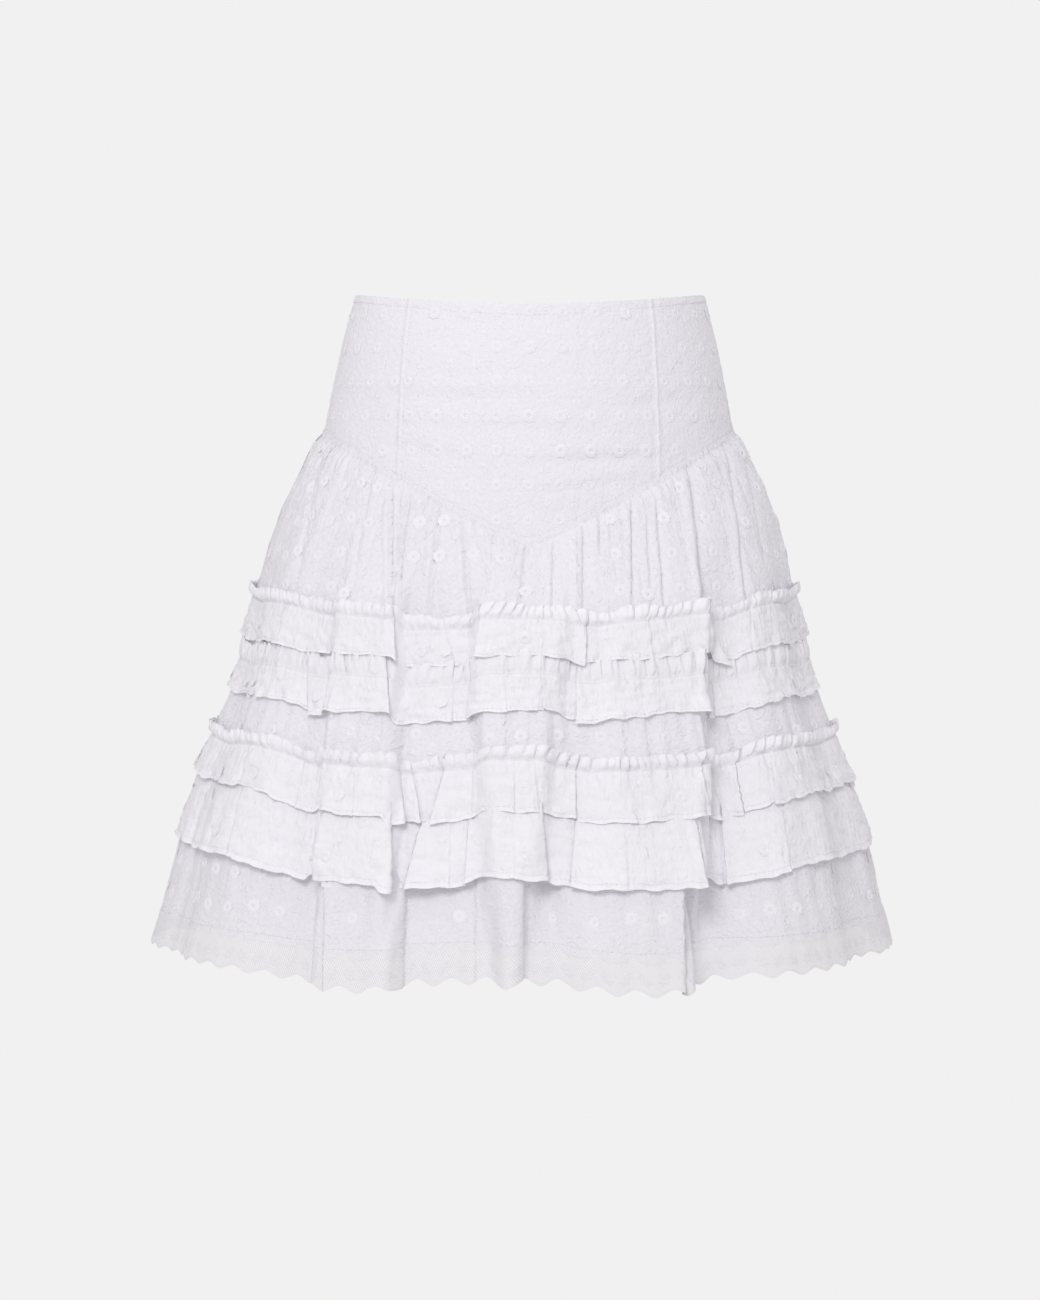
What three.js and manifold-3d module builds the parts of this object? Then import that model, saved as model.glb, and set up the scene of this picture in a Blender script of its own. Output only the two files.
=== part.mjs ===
// A white tiered ruffle skirt, filled out as if worn, with no wearer inside.
// A fitted yoke of seven panels dips to a point in front. A gathered tier hangs from it, a second
// tier hangs from the first, four gathered ruffles are stitched on, and lace edges the hem.
//
// Millimetres, +Z up, front towards -Y. The origin is the middle of the waist, 10 mm below the
// yoke's top edge at the side seams. Angles run round the body from centre front, in degrees:
// 0 is centre front, 90 is the side seam at +X and 180 is centre back. Left and right in the names
// are as seen from the front, with right at +X.
import * as THREE from 'three';
import Module from 'manifold-3d';
import { mergeVertices } from 'three/addons/utils/BufferGeometryUtils.js';

const wasm = await Module();
wasm.setup();

// Walls, gaps and the spacing of the points.
const clothWall = 1.5;
const frillWall = 1.2;
const laceWall = 1.0;
const seamGap = 0.3;
const columnStep = 2.5;
const yokeColumnStep = 5;
const seamGapAngle = 0.06;
const weldDistance = 1e-4;

// The aspect of a level section, which sets the outward direction at each angle.
const bodyAspect = 1.2;

// The yoke's top edge, and its lower seam, a straight V in the front view.
const yokeTop = { left: 10, right: 10, front: 1.6, back: 3 };
const yokeSeam = { side: -83, frontPoint: 79, backPoint: 32 };
const princessAngle = { top: 42, bottom: 36.5 };
const yokeShares = [0, 0.25, 0.5, 0.75, 1];

// The yoke follows a general figure: one row per level section of it.
const YOKE_SECTIONS = [
  { height: 12, halfWidth: 121.5, toFront: 89, toBack: 89, shift: 0 },
  { height: -28, halfWidth: 131.5, toFront: 97, toBack: 102, shift: -0.5 },
  { height: -77, halfWidth: 141.5, toFront: 106, toBack: 115, shift: -0.9 },
  { height: -120, halfWidth: 149, toFront: 112, toBack: 122, shift: -1.3 },
  { height: -166, halfWidth: 156, toFront: 117, toBack: 126, shift: -1.7 },
];

// One row per level of the hanging cloth below the yoke seam. The four heights are those at the
// left, right, front and back. gather is how far the small gathers stand in and out, fold the
// share of the large folds that shows, drop runs from 0 at the first ruffle to 1 at the hem, sag
// is how far a trough hangs down for each millimetre that it lies in, and hang the share of HANGS.
const LEVELS = {
  fall: {
    left: -141, right: -141, front: -187, back: -160, halfWidth: 170, toFront: 136, toBack: 147,
    shift: -1.5, gather: 2.2, fold: 0.6, drop: 0, sag: 0.3, hang: 0,
  },
  first: {
    left: -200, right: -200, front: -210, back: -206, halfWidth: 190, toFront: 155, toBack: 164,
    shift: -3.5, gather: 1.6, fold: 1, drop: 0, sag: 0.8, hang: 0.4,
  },
  second: {
    left: -244, right: -244, front: -246, back: -246, halfWidth: 199, toFront: 165, toBack: 173,
    shift: -4, gather: 1.2, fold: 1, drop: 0.16, sag: 0.7, hang: 0.5,
  },
  tierSeam: {
    left: -297, right: -297, front: -302, back: -301, halfWidth: 217, toFront: 180, toBack: 188,
    shift: -4.5, gather: 1.0, fold: 1, drop: 0.4, sag: 0.5, hang: 1,
  },
  fourth: {
    left: -307, right: -307, front: -315, back: -312, halfWidth: 220.5, toFront: 183.5, toBack: 191.5,
    shift: -4.5, gather: 1.2, fold: 1, drop: 0.45, sag: 0.4, hang: 1,
  },
  knee: {
    left: -366, right: -366, front: -368, back: -367, halfWidth: 239, toFront: 198, toBack: 205,
    shift: -5, gather: 0.8, fold: 1, drop: 0.7, sag: 0.2, hang: 0.9,
  },
  laceSeam: {
    left: -421, right: -421, front: -422, back: -422, halfWidth: 254, toFront: 211, toBack: 217,
    shift: -5.5, gather: 0.4, fold: 1, drop: 0.95, sag: -0.05, hang: 0.7,
  },
  laceTip: {
    left: -441, right: -442, front: -446, back: -446, halfWidth: 260, toFront: 216, toBack: 222,
    shift: -5.5, gather: 0.4, fold: 1, drop: 1, sag: -0.05, hang: 0.8,
  },
};

// One row per large trough: where it lies at the first ruffle and at the hem, how deep it is
// there, half its width in degrees on either side, and the power that squares its sides.
const FOLDS = [
  { ruffleAngle: -18, hemAngle: -11, ruffleDepth: 9, hemDepth: 18, before: 7.5, after: 7.5, power: 8 },
  { ruffleAngle: 12.9, hemAngle: 3.8, ruffleDepth: 4, hemDepth: 16, before: 4.5, after: 4.5, power: 4 },
  { ruffleAngle: 43.8, hemAngle: 30, ruffleDepth: 10, hemDepth: 28, before: 3.4, after: 8, power: 4 },
  { ruffleAngle: -45.7, hemAngle: -36.5, ruffleDepth: 5, hemDepth: 20, before: 8, after: 3.4, power: 4 },
  { ruffleAngle: 74, hemAngle: 66, ruffleDepth: 4, hemDepth: 10, before: 6, after: 6, power: 4 },
  { ruffleAngle: -76, hemAngle: -71, ruffleDepth: 3, hemDepth: 9, before: 6, after: 6, power: 4 },
  { ruffleAngle: 103, hemAngle: 100, ruffleDepth: 4, hemDepth: 12, before: 6, after: 6, power: 4 },
  { ruffleAngle: 129, hemAngle: 133, ruffleDepth: 7, hemDepth: 20, before: 8, after: 4, power: 4 },
  { ruffleAngle: 158, hemAngle: 162, ruffleDepth: 6, hemDepth: 14, before: 6, after: 6, power: 4 },
  { ruffleAngle: -167, hemAngle: -171, ruffleDepth: 5, hemDepth: 13, before: 5.5, after: 5.5, power: 4 },
  { ruffleAngle: -139, hemAngle: -144, ruffleDepth: 8, hemDepth: 22, before: 4, after: 8, power: 4 },
  { ruffleAngle: -110, hemAngle: -112, ruffleDepth: 5, hemDepth: 12, before: 6, after: 6, power: 4 },
];

// One row per place where the tiers hang lower, or higher where the drop is below nothing.
const HANGS = [
  { angle: -32, halfWidth: 13, drop: 6 },
  { angle: 23, halfWidth: 12, drop: 7 },
  { angle: -2, halfWidth: 9, drop: -2.5 },
  { angle: -52, halfWidth: 10, drop: -2 },
  { angle: 147, halfWidth: 14, drop: 5 },
  { angle: -153, halfWidth: 13, drop: 5 },
];

// One row per ruffle: the level that it is stitched along, the frill that stands above the
// stitching and the fall below it, how far its edge stands off, and the share of that by which
// its waves go in and out. cover is how much of its top another ruffle hides and keeps flat.
const RUFFLES = [
  {
    name: 'ruffle_1', level: 'first', frill: 9.5, cover: 0,
    fall: { left: 27, right: 28, front: 24, back: 25 },
    flare: { left: 6.5, right: 6.5, front: 6.5, back: 6.5 },
    frillFlare: 5, wave: 0.5, waves: 36, phase: 0.4,
  },
  {
    name: 'ruffle_2', level: 'second', frill: 7.5, cover: 0,
    fall: { left: 19, right: 20, front: 24, back: 23 },
    flare: { left: 3.5, right: 4.5, front: 6.5, back: 6 },
    frillFlare: 4, wave: 0.5, waves: 36, phase: 2.1,
  },
  {
    name: 'ruffle_3', level: 'tierSeam', frill: 11, cover: 0,
    fall: { left: 24, right: 30, front: 33, back: 31 },
    flare: { left: 10, right: 8, front: 9.5, back: 9.5 },
    frillFlare: 6, wave: 0.32, waves: 36, phase: 3.3,
  },
  {
    name: 'ruffle_4', level: 'fourth', frill: 0, cover: 25,
    fall: { left: 60, right: 65, front: 63, back: 63 },
    flare: { left: 9.5, right: 4.5, front: 9, back: 9 },
    frillFlare: 0, wave: 0.42, waves: 34, phase: 5.2,
  },
];

// The line half way down a ruffle: its shares of the fall, the flare, the waves and the laps.
const ruffleMiddle = { fall: 0.5, flare: 0.62, coveredFlare: 0.3, wave: 0.2, lap: 0.2 };

// One row per place in front where a ruffle laps over itself: where the front part's edge lies
// at the stitching and at the hem, across from the centre, how far it stands out, which way it
// faces (1 is to the right), and how far back from the edge it lies down again.
const LAPS = [
  { ruffle: 'ruffle_1', top: -90, foot: -86, out: 4.5, facing: 1, reach: 9 },
  { ruffle: 'ruffle_1', top: -32, foot: -34, out: 4.5, facing: -1, reach: 8 },
  { ruffle: 'ruffle_1', top: 36, foot: 33, out: 4, facing: 1, reach: 12 },
  { ruffle: 'ruffle_1', top: 115, foot: 127, out: 6, facing: 1, reach: 9 },
  { ruffle: 'ruffle_2', top: -103, foot: -99, out: 4.5, facing: 1, reach: 8 },
  { ruffle: 'ruffle_2', top: -38, foot: -39, out: 4.5, facing: -1, reach: 7 },
  { ruffle: 'ruffle_2', top: 31, foot: 31, out: 4, facing: -1, reach: 20 },
  { ruffle: 'ruffle_2', top: 112, foot: 114, out: 5, facing: 1, reach: 10 },
  { ruffle: 'ruffle_3', top: -87, foot: -83, out: 4.5, facing: 1, reach: 12 },
  { ruffle: 'ruffle_3', top: -55, foot: -62, out: 5, facing: -1, reach: 9 },
  { ruffle: 'ruffle_3', top: 110, foot: 114, out: 4.5, facing: 1, reach: 10 },
  { ruffle: 'ruffle_4', top: -94, foot: -92, out: 9, facing: 1, reach: 14 },
  { ruffle: 'ruffle_4', top: -65, foot: -78, out: 7, facing: -1, reach: 10 },
  { ruffle: 'ruffle_4', top: 4, foot: 7, out: 8, facing: 1, reach: 9 },
  { ruffle: 'ruffle_4', top: 105, foot: 111, out: 8.5, facing: 1, reach: 12 },
  { ruffle: 'ruffle_4', top: 127, foot: 129, out: 5, facing: -1, reach: 12 },
];
const scallopDepth = 8;

// The gathers, and the slow turns round the body that make their waves and the ruffles' uneven.
const gathers = 36;
const seamGather = 0.4;
const uneven = {
  shift: 1.1, shiftTurns: 3, drift: 0.7, driftTurns: 7, swell: 0.2, swellTurns: 5, flatness: 1.5,
};

// The concealed zip in the centre back seam of the yoke.
const zip = {
  tapeHalfWidth: 12, tapeWall: 1, tapeRoom: 0.5, tapeTopShare: 0.05, tapeBottomShare: 0.93,
  sliderHeight: -9, sliderWidth: 5, sliderLength: 9, sliderThick: 1.8,
  bridgeWidth: 1.2, bridgeWall: 1, bridgeRoom: 2.5, bridgeSpan: 3.2,
  pullLength: 22, pullWidth: 5.4, pullThick: 1.2, pullHoleHalfWidth: 1.25, pullHoleLength: 5.4,
};

const clothColour = 0xeeebf2;
const laceColour = 0xe9e8ee;
const tapeColour = 0xf2f1f4;
const zipColour = 0xdedee2;

const radians = THREE.MathUtils.degToRad;
const mix = THREE.MathUtils.lerp;

// The level direction in which cloth is moved out at an angle.
function outward(angle) {
  const turn = radians(angle);
  return new THREE.Vector3(Math.sin(turn) / bodyAspect, -Math.cos(turn), 0).normalize();
}

// A length that changes round the body, from one side through the front or back to the other.
function lengthRound(lengths, angle) {
  const facing = Math.cos(radians(angle));
  const side = Math.sin(radians(angle)) > 0 ? lengths.right : lengths.left;
  const end = facing > 0 ? lengths.front : lengths.back;
  return mix(side, end, facing * facing);
}

// How far one angle is past another, from -180 to 180.
function anglePast(angle, other) {
  return THREE.MathUtils.euclideanModulo(angle - other + 180, 360) - 180;
}

// A point on an oval section, moved out by out.
function sectionPoint(section, angle, height, out) {
  const turn = radians(angle);
  const depth = Math.cos(turn) > 0 ? section.toFront : section.toBack;
  const point = new THREE.Vector3(
    section.shift + section.halfWidth * Math.sin(turn), -depth * Math.cos(turn), height);
  return point.addScaledVector(outward(angle), out);
}

// The yoke's outer face at a height.
function yokePoint(angle, height, out = 0) {
  const last = YOKE_SECTIONS.length - 1;
  let row = 1;
  while (row < last && height < YOKE_SECTIONS[row].height) row += 1;
  const above = YOKE_SECTIONS[row - 1];
  const below = YOKE_SECTIONS[row];
  const share = (above.height - height) / (above.height - below.height);
  const section = {
    halfWidth: mix(above.halfWidth, below.halfWidth, share),
    toFront: mix(above.toFront, below.toFront, share),
    toBack: mix(above.toBack, below.toBack, share),
    shift: mix(above.shift, below.shift, share),
  };
  return sectionPoint(section, angle, height, out);
}

// The height of the seam between the yoke and the gathered tier.
function yokeSeamHeight(angle) {
  const point = Math.cos(radians(angle)) > 0 ? yokeSeam.frontPoint : yokeSeam.backPoint;
  return yokeSeam.side - point * (1 - Math.abs(Math.sin(radians(angle))));
}

// The yoke's outer face at a share of the way from its top edge to its seam.
function yokeSharePoint(angle, share, out = 0) {
  const foot = yokeSeamHeight(angle) + seamGap / 2;
  return yokePoint(angle, mix(lengthRound(yokeTop, angle), foot, share), out);
}

// How far the large folds lie in at an angle, for a level.
function troughDepth(angle, level) {
  let depth = 0;
  for (const fold of FOLDS) {
    const centre = mix(fold.ruffleAngle, fold.hemAngle, level.drop);
    const past = anglePast(angle, centre);
    const full = mix(fold.ruffleDepth, fold.hemDepth, level.drop);
    const halfWidth = past < 0 ? fold.before : fold.after;
    depth += level.fold * full / (1 + Math.abs(past / halfWidth) ** fold.power);
  }
  return depth;
}

// How far the tiers hang down at an angle.
function hangAt(angle) {
  let total = 0;
  for (const hang of HANGS) {
    total += hang.drop / (1 + (anglePast(angle, hang.angle) / hang.halfWidth) ** 4);
  }
  return total;
}

// An uneven wave round the body, from -1 to 1, with flattened crests.
function waveRound(angle, count, phase) {
  const turn = radians(angle);
  const shift = uneven.shift * Math.sin(uneven.shiftTurns * turn + phase);
  const drift = uneven.drift * Math.sin(uneven.driftTurns * turn + 2 * phase);
  const height = 1 - uneven.swell * (1 - Math.sin(uneven.swellTurns * turn + 3 * phase));
  const wave = Math.sin(count * turn + shift + drift + phase);
  return height * Math.tanh(uneven.flatness * wave) / Math.tanh(uneven.flatness);
}

// The hanging cloth's outer face at a named level.
function levelPoint(level, angle) {
  const trough = troughDepth(angle, level);
  const out = level.gather * waveRound(angle, gathers, 0) - trough;
  const height = lengthRound(level, angle) - level.sag * trough - level.hang * hangAt(angle);
  return sectionPoint(level, angle, height, out);
}

// The hanging cloth's top edge, just below the yoke.
function seamPoint(angle) {
  const height = yokeSeamHeight(angle) - seamGap / 2;
  return yokePoint(angle, height, seamGather * waveRound(angle, gathers, 0));
}

// The hanging cloth's outer face at any height, straight from level to level.
function skirtPoint(angle, height) {
  const rows = [seamPoint(angle), ...Object.values(LEVELS).map((level) => levelPoint(level, angle))];
  let row = 1;
  while (row < rows.length - 1 && height < rows[row].z) row += 1;
  const share = (rows[row - 1].z - height) / (rows[row - 1].z - rows[row].z);
  return rows[row - 1].clone().lerp(rows[row], share);
}

// The angles of a piece's columns, with both ends held back for the seams.
function columnsBetween(start, end, step = columnStep) {
  const count = Math.max(1, Math.round((end - start) / step));
  const angles = [];
  for (let i = 0; i <= count; i += 1) angles.push(mix(start, end, i / count));
  angles[0] += seamGapAngle;
  angles[count] -= seamGapAngle;
  return angles;
}

// A closed wall from rows of outer points, top row first, each row running to higher angles.
// angleAt gives a point's angle, along whose outward direction the inner face is moved in.
function wallGeometry(rows, angleAt, wall) {
  const columns = rows[0].length;
  const corners = [];
  const index = (row, column, face) => (row * columns + column) * 2 + face;
  rows.forEach((points, row) => points.forEach((point, column) => {
    const inner = point.clone().addScaledVector(outward(angleAt(row, column)), -wall);
    corners.push(point.x, point.y, point.z, inner.x, inner.y, inner.z);
  }));
  const triangles = [];
  const quad = (a, b, c, d) => triangles.push(a, b, c, a, c, d);
  const last = { row: rows.length - 1, column: columns - 1 };
  for (let row = 0; row < last.row; row += 1) {
    for (let column = 0; column < last.column; column += 1) {
      const [next, under] = [column + 1, row + 1];
      quad(index(row, column, 0), index(under, column, 0), index(under, next, 0), index(row, next, 0));
      quad(index(row, column, 1), index(row, next, 1), index(under, next, 1), index(under, column, 1));
    }
    const [start, end] = [0, last.column];
    quad(index(row, start, 1), index(row + 1, start, 1), index(row + 1, start, 0), index(row, start, 0));
    quad(index(row, end, 0), index(row + 1, end, 0), index(row + 1, end, 1), index(row, end, 1));
  }
  for (let column = 0; column < last.column; column += 1) {
    const [next, foot] = [column + 1, last.row];
    quad(index(0, column, 1), index(0, column, 0), index(0, next, 0), index(0, next, 1));
    quad(index(foot, column, 0), index(foot, column, 1), index(foot, next, 1), index(foot, next, 0));
  }
  const geometry = new THREE.BufferGeometry();
  geometry.setAttribute('position', new THREE.Float32BufferAttribute(corners, 3));
  geometry.setIndex(triangles);
  return geometry;
}

function clothMaterial(colour) {
  return new THREE.MeshStandardMaterial({ color: colour, roughness: 0.9, metalness: 0 });
}

function addMesh(group, name, geometry, material) {
  const mesh = new THREE.Mesh(geometry, material);
  mesh.name = name;
  group.add(mesh);
  return mesh;
}

// A yoke panel between two seams, each with an angle at the top and at the bottom.
function addYokePanel(group, name, left, right, material) {
  const count = Math.max(2, Math.round((right.top - left.top) / yokeColumnStep / 2) * 2);
  const angles = yokeShares.map((share) => {
    const row = [];
    for (let i = 0; i <= count; i += 1) {
      row.push(mix(mix(left.top, left.bottom, share), mix(right.top, right.bottom, share), i / count));
    }
    row[0] += seamGapAngle;
    row[count] -= seamGapAngle;
    return row;
  });
  const rows = yokeShares.map(
    (share, row) => angles[row].map((angle) => yokeSharePoint(angle, share)));
  addMesh(group, name, wallGeometry(rows, (row, column) => angles[row][column], clothWall), material);
}

function addYoke(group) {
  const material = clothMaterial(clothColour);
  const princess = (middle, side) => ({
    top: middle + side * princessAngle.top, bottom: middle + side * princessAngle.bottom,
  });
  const at = (angle) => ({ top: angle, bottom: angle });
  addYokePanel(group, 'yoke_front', princess(0, -1), princess(0, 1), material);
  addYokePanel(group, 'yoke_side_front_right', princess(0, 1), at(90), material);
  addYokePanel(group, 'yoke_side_back_right', at(90), princess(180, -1), material);
  addYokePanel(group, 'yoke_back_right', princess(180, -1), at(180), material);
  addYokePanel(group, 'yoke_back_left', at(180), princess(180, 1), material);
  addYokePanel(group, 'yoke_side_back_left', princess(180, 1), at(270), material);
  addYokePanel(group, 'yoke_side_front_left', at(270), princess(360, -1), material);
}

// The front half runs from side seam to side seam, and so does the back half.
const HALVES = [
  { name: 'front', start: -90, end: 90 },
  { name: 'back', start: 90, end: 270 },
];

// A tier of the skirt as a front and a back, through the named levels.
function addTier(group, name, levels, fromSeam, material) {
  for (const half of HALVES) {
    const angles = columnsBetween(half.start, half.end);
    const rows = levels.map((level, row) => angles.map((angle) => {
      const point = levelPoint(LEVELS[level], angle);
      if (row === 0 && !fromSeam) point.z -= seamGap / 2;
      if (row === levels.length - 1) point.z += seamGap / 2;
      return point;
    }));
    if (fromSeam) rows.unshift(angles.map(seamPoint));
    const geometry = wallGeometry(rows, (row, column) => angles[column], clothWall);
    addMesh(group, `${name}_${half.name}`, geometry, material);
  }
}

// How far the laps of a ruffle stand out at a distance across, at a share of the way down.
function lapOut(ruffle, angle, across, share) {
  let out = 0;
  if (Math.cos(radians(angle)) < 0) return out;
  for (const lap of LAPS) {
    const back = (mix(lap.top, lap.foot, share) - across) * lap.facing;
    if (lap.ruffle === ruffle.name && back > 0) out += lap.out * Math.exp(-back / lap.reach);
  }
  return out;
}

// One column of a ruffle, from the frill's edge through the stitching to the hem.
function ruffleColumn(ruffle, angle) {
  const level = levelPoint(LEVELS[ruffle.level], angle).z;
  const wave = ruffle.wave * waveRound(angle, ruffle.waves, ruffle.phase);
  const fall = lengthRound(ruffle.fall, angle);
  const flare = lengthRound(ruffle.flare, angle);
  const middleFlare = ruffle.cover > 0 ? ruffleMiddle.coveredFlare : ruffleMiddle.flare;
  const middle = Math.max(ruffleMiddle.fall * fall, ruffle.cover);
  const lines = [
    { below: 0, out: 0, lap: 0 },
    { below: middle, out: flare * (middleFlare + ruffleMiddle.wave * wave), lap: ruffleMiddle.lap },
    { below: fall, out: flare * (1 + wave), lap: 1 },
  ];
  if (ruffle.frill > 0) {
    lines.unshift({ below: -ruffle.frill, out: ruffle.frillFlare * (1 + wave), lap: 0 });
  }
  return lines.map((line) => {
    const point = skirtPoint(angle, level - line.below);
    const laps = line.lap * lapOut(ruffle, angle, point.x, line.below / fall);
    return point.addScaledVector(outward(angle), seamGap + frillWall + line.out + laps);
  });
}

// A gathered strip: a frill above the stitching and a ruffle below it, on the cloth's own points.
function addRuffle(group, ruffle, material) {
  for (const half of HALVES) {
    const angles = columnsBetween(half.start, half.end);
    const columns = angles.map((angle) => ruffleColumn(ruffle, angle));
    const rows = columns[0].map((point, row) => columns.map((column) => column[row]));
    const geometry = wallGeometry(rows, (row, column) => angles[column], frillWall);
    addMesh(group, `${ruffle.name}_${half.name}`, geometry, material);
  }
}

// The lace edging, whose lower edge runs in points.
function addLace(group) {
  const material = clothMaterial(laceColour);
  const thinner = (clothWall - laceWall) / 2;
  for (const half of HALVES) {
    const angles = columnsBetween(half.start, half.end);
    const top = angles.map((angle) => {
      const point = levelPoint(LEVELS.laceSeam, angle).addScaledVector(outward(angle), -thinner);
      point.z -= seamGap / 2;
      return point;
    });
    const foot = angles.map((angle, column) => {
      const tip = levelPoint(LEVELS.laceTip, angle);
      const raised = column % 2 === 0 ? scallopDepth : 0;
      return skirtPoint(angle, tip.z + raised).addScaledVector(outward(angle), -thinner);
    });
    const geometry = wallGeometry([top, foot], (row, column) => angles[column], laceWall);
    addMesh(group, `lace_${half.name}`, geometry, material);
  }
}

// The zip's tape lies against the inside of both back panels.
function addZipTape(group) {
  const halfAngle = THREE.MathUtils.radToDeg(zip.tapeHalfWidth / YOKE_SECTIONS[1].halfWidth);
  const angles = [-1, -0.5, 0, 0.5, 1].map((share) => 180 + share * halfAngle);
  const shares = [zip.tapeTopShare, ...yokeShares.slice(1, -1), zip.tapeBottomShare];
  const rows = shares.map((share) => angles.map(
    (angle) => yokeSharePoint(angle, share, -clothWall - zip.tapeRoom)));
  const geometry = wallGeometry(rows, (row, column) => angles[column], zip.tapeWall);
  addMesh(group, 'zip_tape', geometry, clothMaterial(tapeColour));
}

function toSolid(geometry) {
  const bare = geometry.clone();
  bare.deleteAttribute('normal');
  bare.deleteAttribute('uv');
  const merged = mergeVertices(bare, weldDistance);
  return new wasm.Manifold(new wasm.Mesh({
    numProp: 3,
    vertProperties: new Float32Array(merged.attributes.position.array),
    triVerts: new Uint32Array(merged.index.array),
  }));
}

function toGeometry(solid) {
  const mesh = solid.getMesh();
  const geometry = new THREE.BufferGeometry();
  geometry.setAttribute('position', new THREE.BufferAttribute(mesh.vertProperties, 3));
  geometry.setIndex(new THREE.BufferAttribute(mesh.triVerts, 1));
  return geometry;
}

// A box from the slider's own sizes, its centre moved to a place.
function boxAt(width, depth, height, x, y, z) {
  return new THREE.BoxGeometry(width, depth, height).translate(x, y, z);
}

// The slider's body, with a bridge that the pull tab hangs from.
function sliderGeometry() {
  const bridgeTop = zip.sliderThick + zip.bridgeRoom;
  const legPlace = zip.bridgeSpan / 2 + zip.bridgeWall / 2;
  const legHeight = zip.bridgeRoom + zip.bridgeWall + zip.sliderThick / 2;
  const legMiddle = zip.sliderThick / 2 + legHeight / 2;
  const body = toSolid(boxAt(
    zip.sliderWidth, zip.sliderThick, zip.sliderLength, 0, zip.sliderThick / 2, 0));
  const roof = toSolid(boxAt(
    zip.bridgeWidth, zip.bridgeWall, zip.bridgeSpan + 2 * zip.bridgeWall,
    0, bridgeTop + zip.bridgeWall / 2, 0));
  const legs = [-1, 1].map((side) => toSolid(boxAt(
    zip.bridgeWidth, legHeight, zip.bridgeWall, 0, legMiddle, side * legPlace)));
  return toGeometry(body.add(roof).add(legs[0]).add(legs[1]));
}

// The pull tab: a flat drop with a slot at its upper end, round the bridge. Its origin is the
// middle of the bar above the slot, on which it turns.
function pullGeometry() {
  const half = zip.pullWidth / 2;
  const neck = zip.pullHoleHalfWidth + zip.pullThick;
  const bar = zip.pullThick / 2;
  const shoulder = zip.pullHoleLength + zip.pullThick;
  const outline = new THREE.Shape();
  outline.moveTo(-neck, bar);
  outline.lineTo(-neck, -shoulder);
  outline.absarc(0, -zip.pullLength + half, half, Math.PI, 2 * Math.PI, false);
  outline.lineTo(neck, -shoulder);
  outline.lineTo(neck, bar);
  outline.closePath();
  const slot = new THREE.Path();
  slot.moveTo(-zip.pullHoleHalfWidth, -bar);
  slot.lineTo(zip.pullHoleHalfWidth, -bar);
  slot.lineTo(zip.pullHoleHalfWidth, -zip.pullHoleLength);
  slot.lineTo(-zip.pullHoleHalfWidth, -zip.pullHoleLength);
  slot.closePath();
  outline.holes.push(slot);
  const options = { depth: zip.pullThick, bevelEnabled: false, curveSegments: 8 };
  const geometry = new THREE.ExtrudeGeometry(outline, options);
  return geometry.translate(0, 0, -zip.pullThick / 2).rotateX(Math.PI / 2);
}

// The slider and its pull tab stand on the back of the yoke and follow its slope.
function addZipSlider(group) {
  const high = yokePoint(180, zip.sliderHeight + zip.sliderLength / 2, seamGap);
  const low = yokePoint(180, zip.sliderHeight - zip.sliderLength / 2, seamGap);
  const metal = new THREE.MeshStandardMaterial({ color: zipColour, roughness: 0.35, metalness: 0.3 });
  const seat = new THREE.Group();
  seat.position.copy(high).lerp(low, 0.5);
  seat.position.x = yokePoint(180, zip.sliderHeight).x;
  seat.rotation.x = Math.atan2(low.y - high.y, high.z - low.z);
  group.add(seat);
  addMesh(seat, 'zip_slider', sliderGeometry(), metal);
  const pull = addMesh(seat, 'zip_pull', pullGeometry(), metal);
  pull.position.y = zip.sliderThick + zip.bridgeRoom / 2;
}

const skirt = new THREE.Group();
const cloth = clothMaterial(clothColour);
addYoke(skirt);
addTier(skirt, 'upper_tier', ['fall', 'first', 'second', 'tierSeam'], true, cloth);
addTier(skirt, 'lower_tier', ['tierSeam', 'fourth', 'knee', 'laceSeam'], false, cloth);
for (const ruffle of RUFFLES) addRuffle(skirt, ruffle, cloth);
addLace(skirt);
addZipTape(skirt);
addZipSlider(skirt);

export default skirt;
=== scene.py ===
# %% [markdown]
# # A white tiered ruffle skirt
#
# The skirt's shape is worked out from a few tables: level sections of a general figure, large
# folds that run down the cloth, and one row for each ruffle. The cloth is then laid over that
# shape as fine meshes with gathers and crinkles of its own, and the embroidery is raised on it.
#
# A cloth simulation could make such folds too. Worked-out surfaces were chosen because they come
# out the same on each run, and each large fold falls where the photograph has it.

import math

import bpy
import numpy as np
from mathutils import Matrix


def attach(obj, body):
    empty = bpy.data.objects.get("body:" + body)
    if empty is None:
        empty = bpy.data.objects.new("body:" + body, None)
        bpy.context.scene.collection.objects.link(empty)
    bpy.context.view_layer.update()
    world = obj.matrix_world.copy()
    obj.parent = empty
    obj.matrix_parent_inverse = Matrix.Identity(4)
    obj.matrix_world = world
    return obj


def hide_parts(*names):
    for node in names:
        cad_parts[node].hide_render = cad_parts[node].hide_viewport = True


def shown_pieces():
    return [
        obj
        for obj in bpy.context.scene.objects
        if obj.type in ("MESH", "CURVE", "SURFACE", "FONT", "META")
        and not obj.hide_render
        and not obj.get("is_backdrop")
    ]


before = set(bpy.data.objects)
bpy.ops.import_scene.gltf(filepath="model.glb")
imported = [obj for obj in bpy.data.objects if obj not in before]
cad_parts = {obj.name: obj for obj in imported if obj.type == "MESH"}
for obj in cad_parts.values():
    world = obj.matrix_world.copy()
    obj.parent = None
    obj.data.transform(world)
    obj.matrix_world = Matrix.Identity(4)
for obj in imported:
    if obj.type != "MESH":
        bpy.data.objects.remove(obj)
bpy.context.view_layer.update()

MM = 0.001
BODY = "skirt"

# %% [markdown]
# Lengths in the tables are millimetres and angles are degrees. 0 is the centre front, 90 the
# side seam at +X and 180 the centre back. The origin is the middle of the waist.

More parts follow.
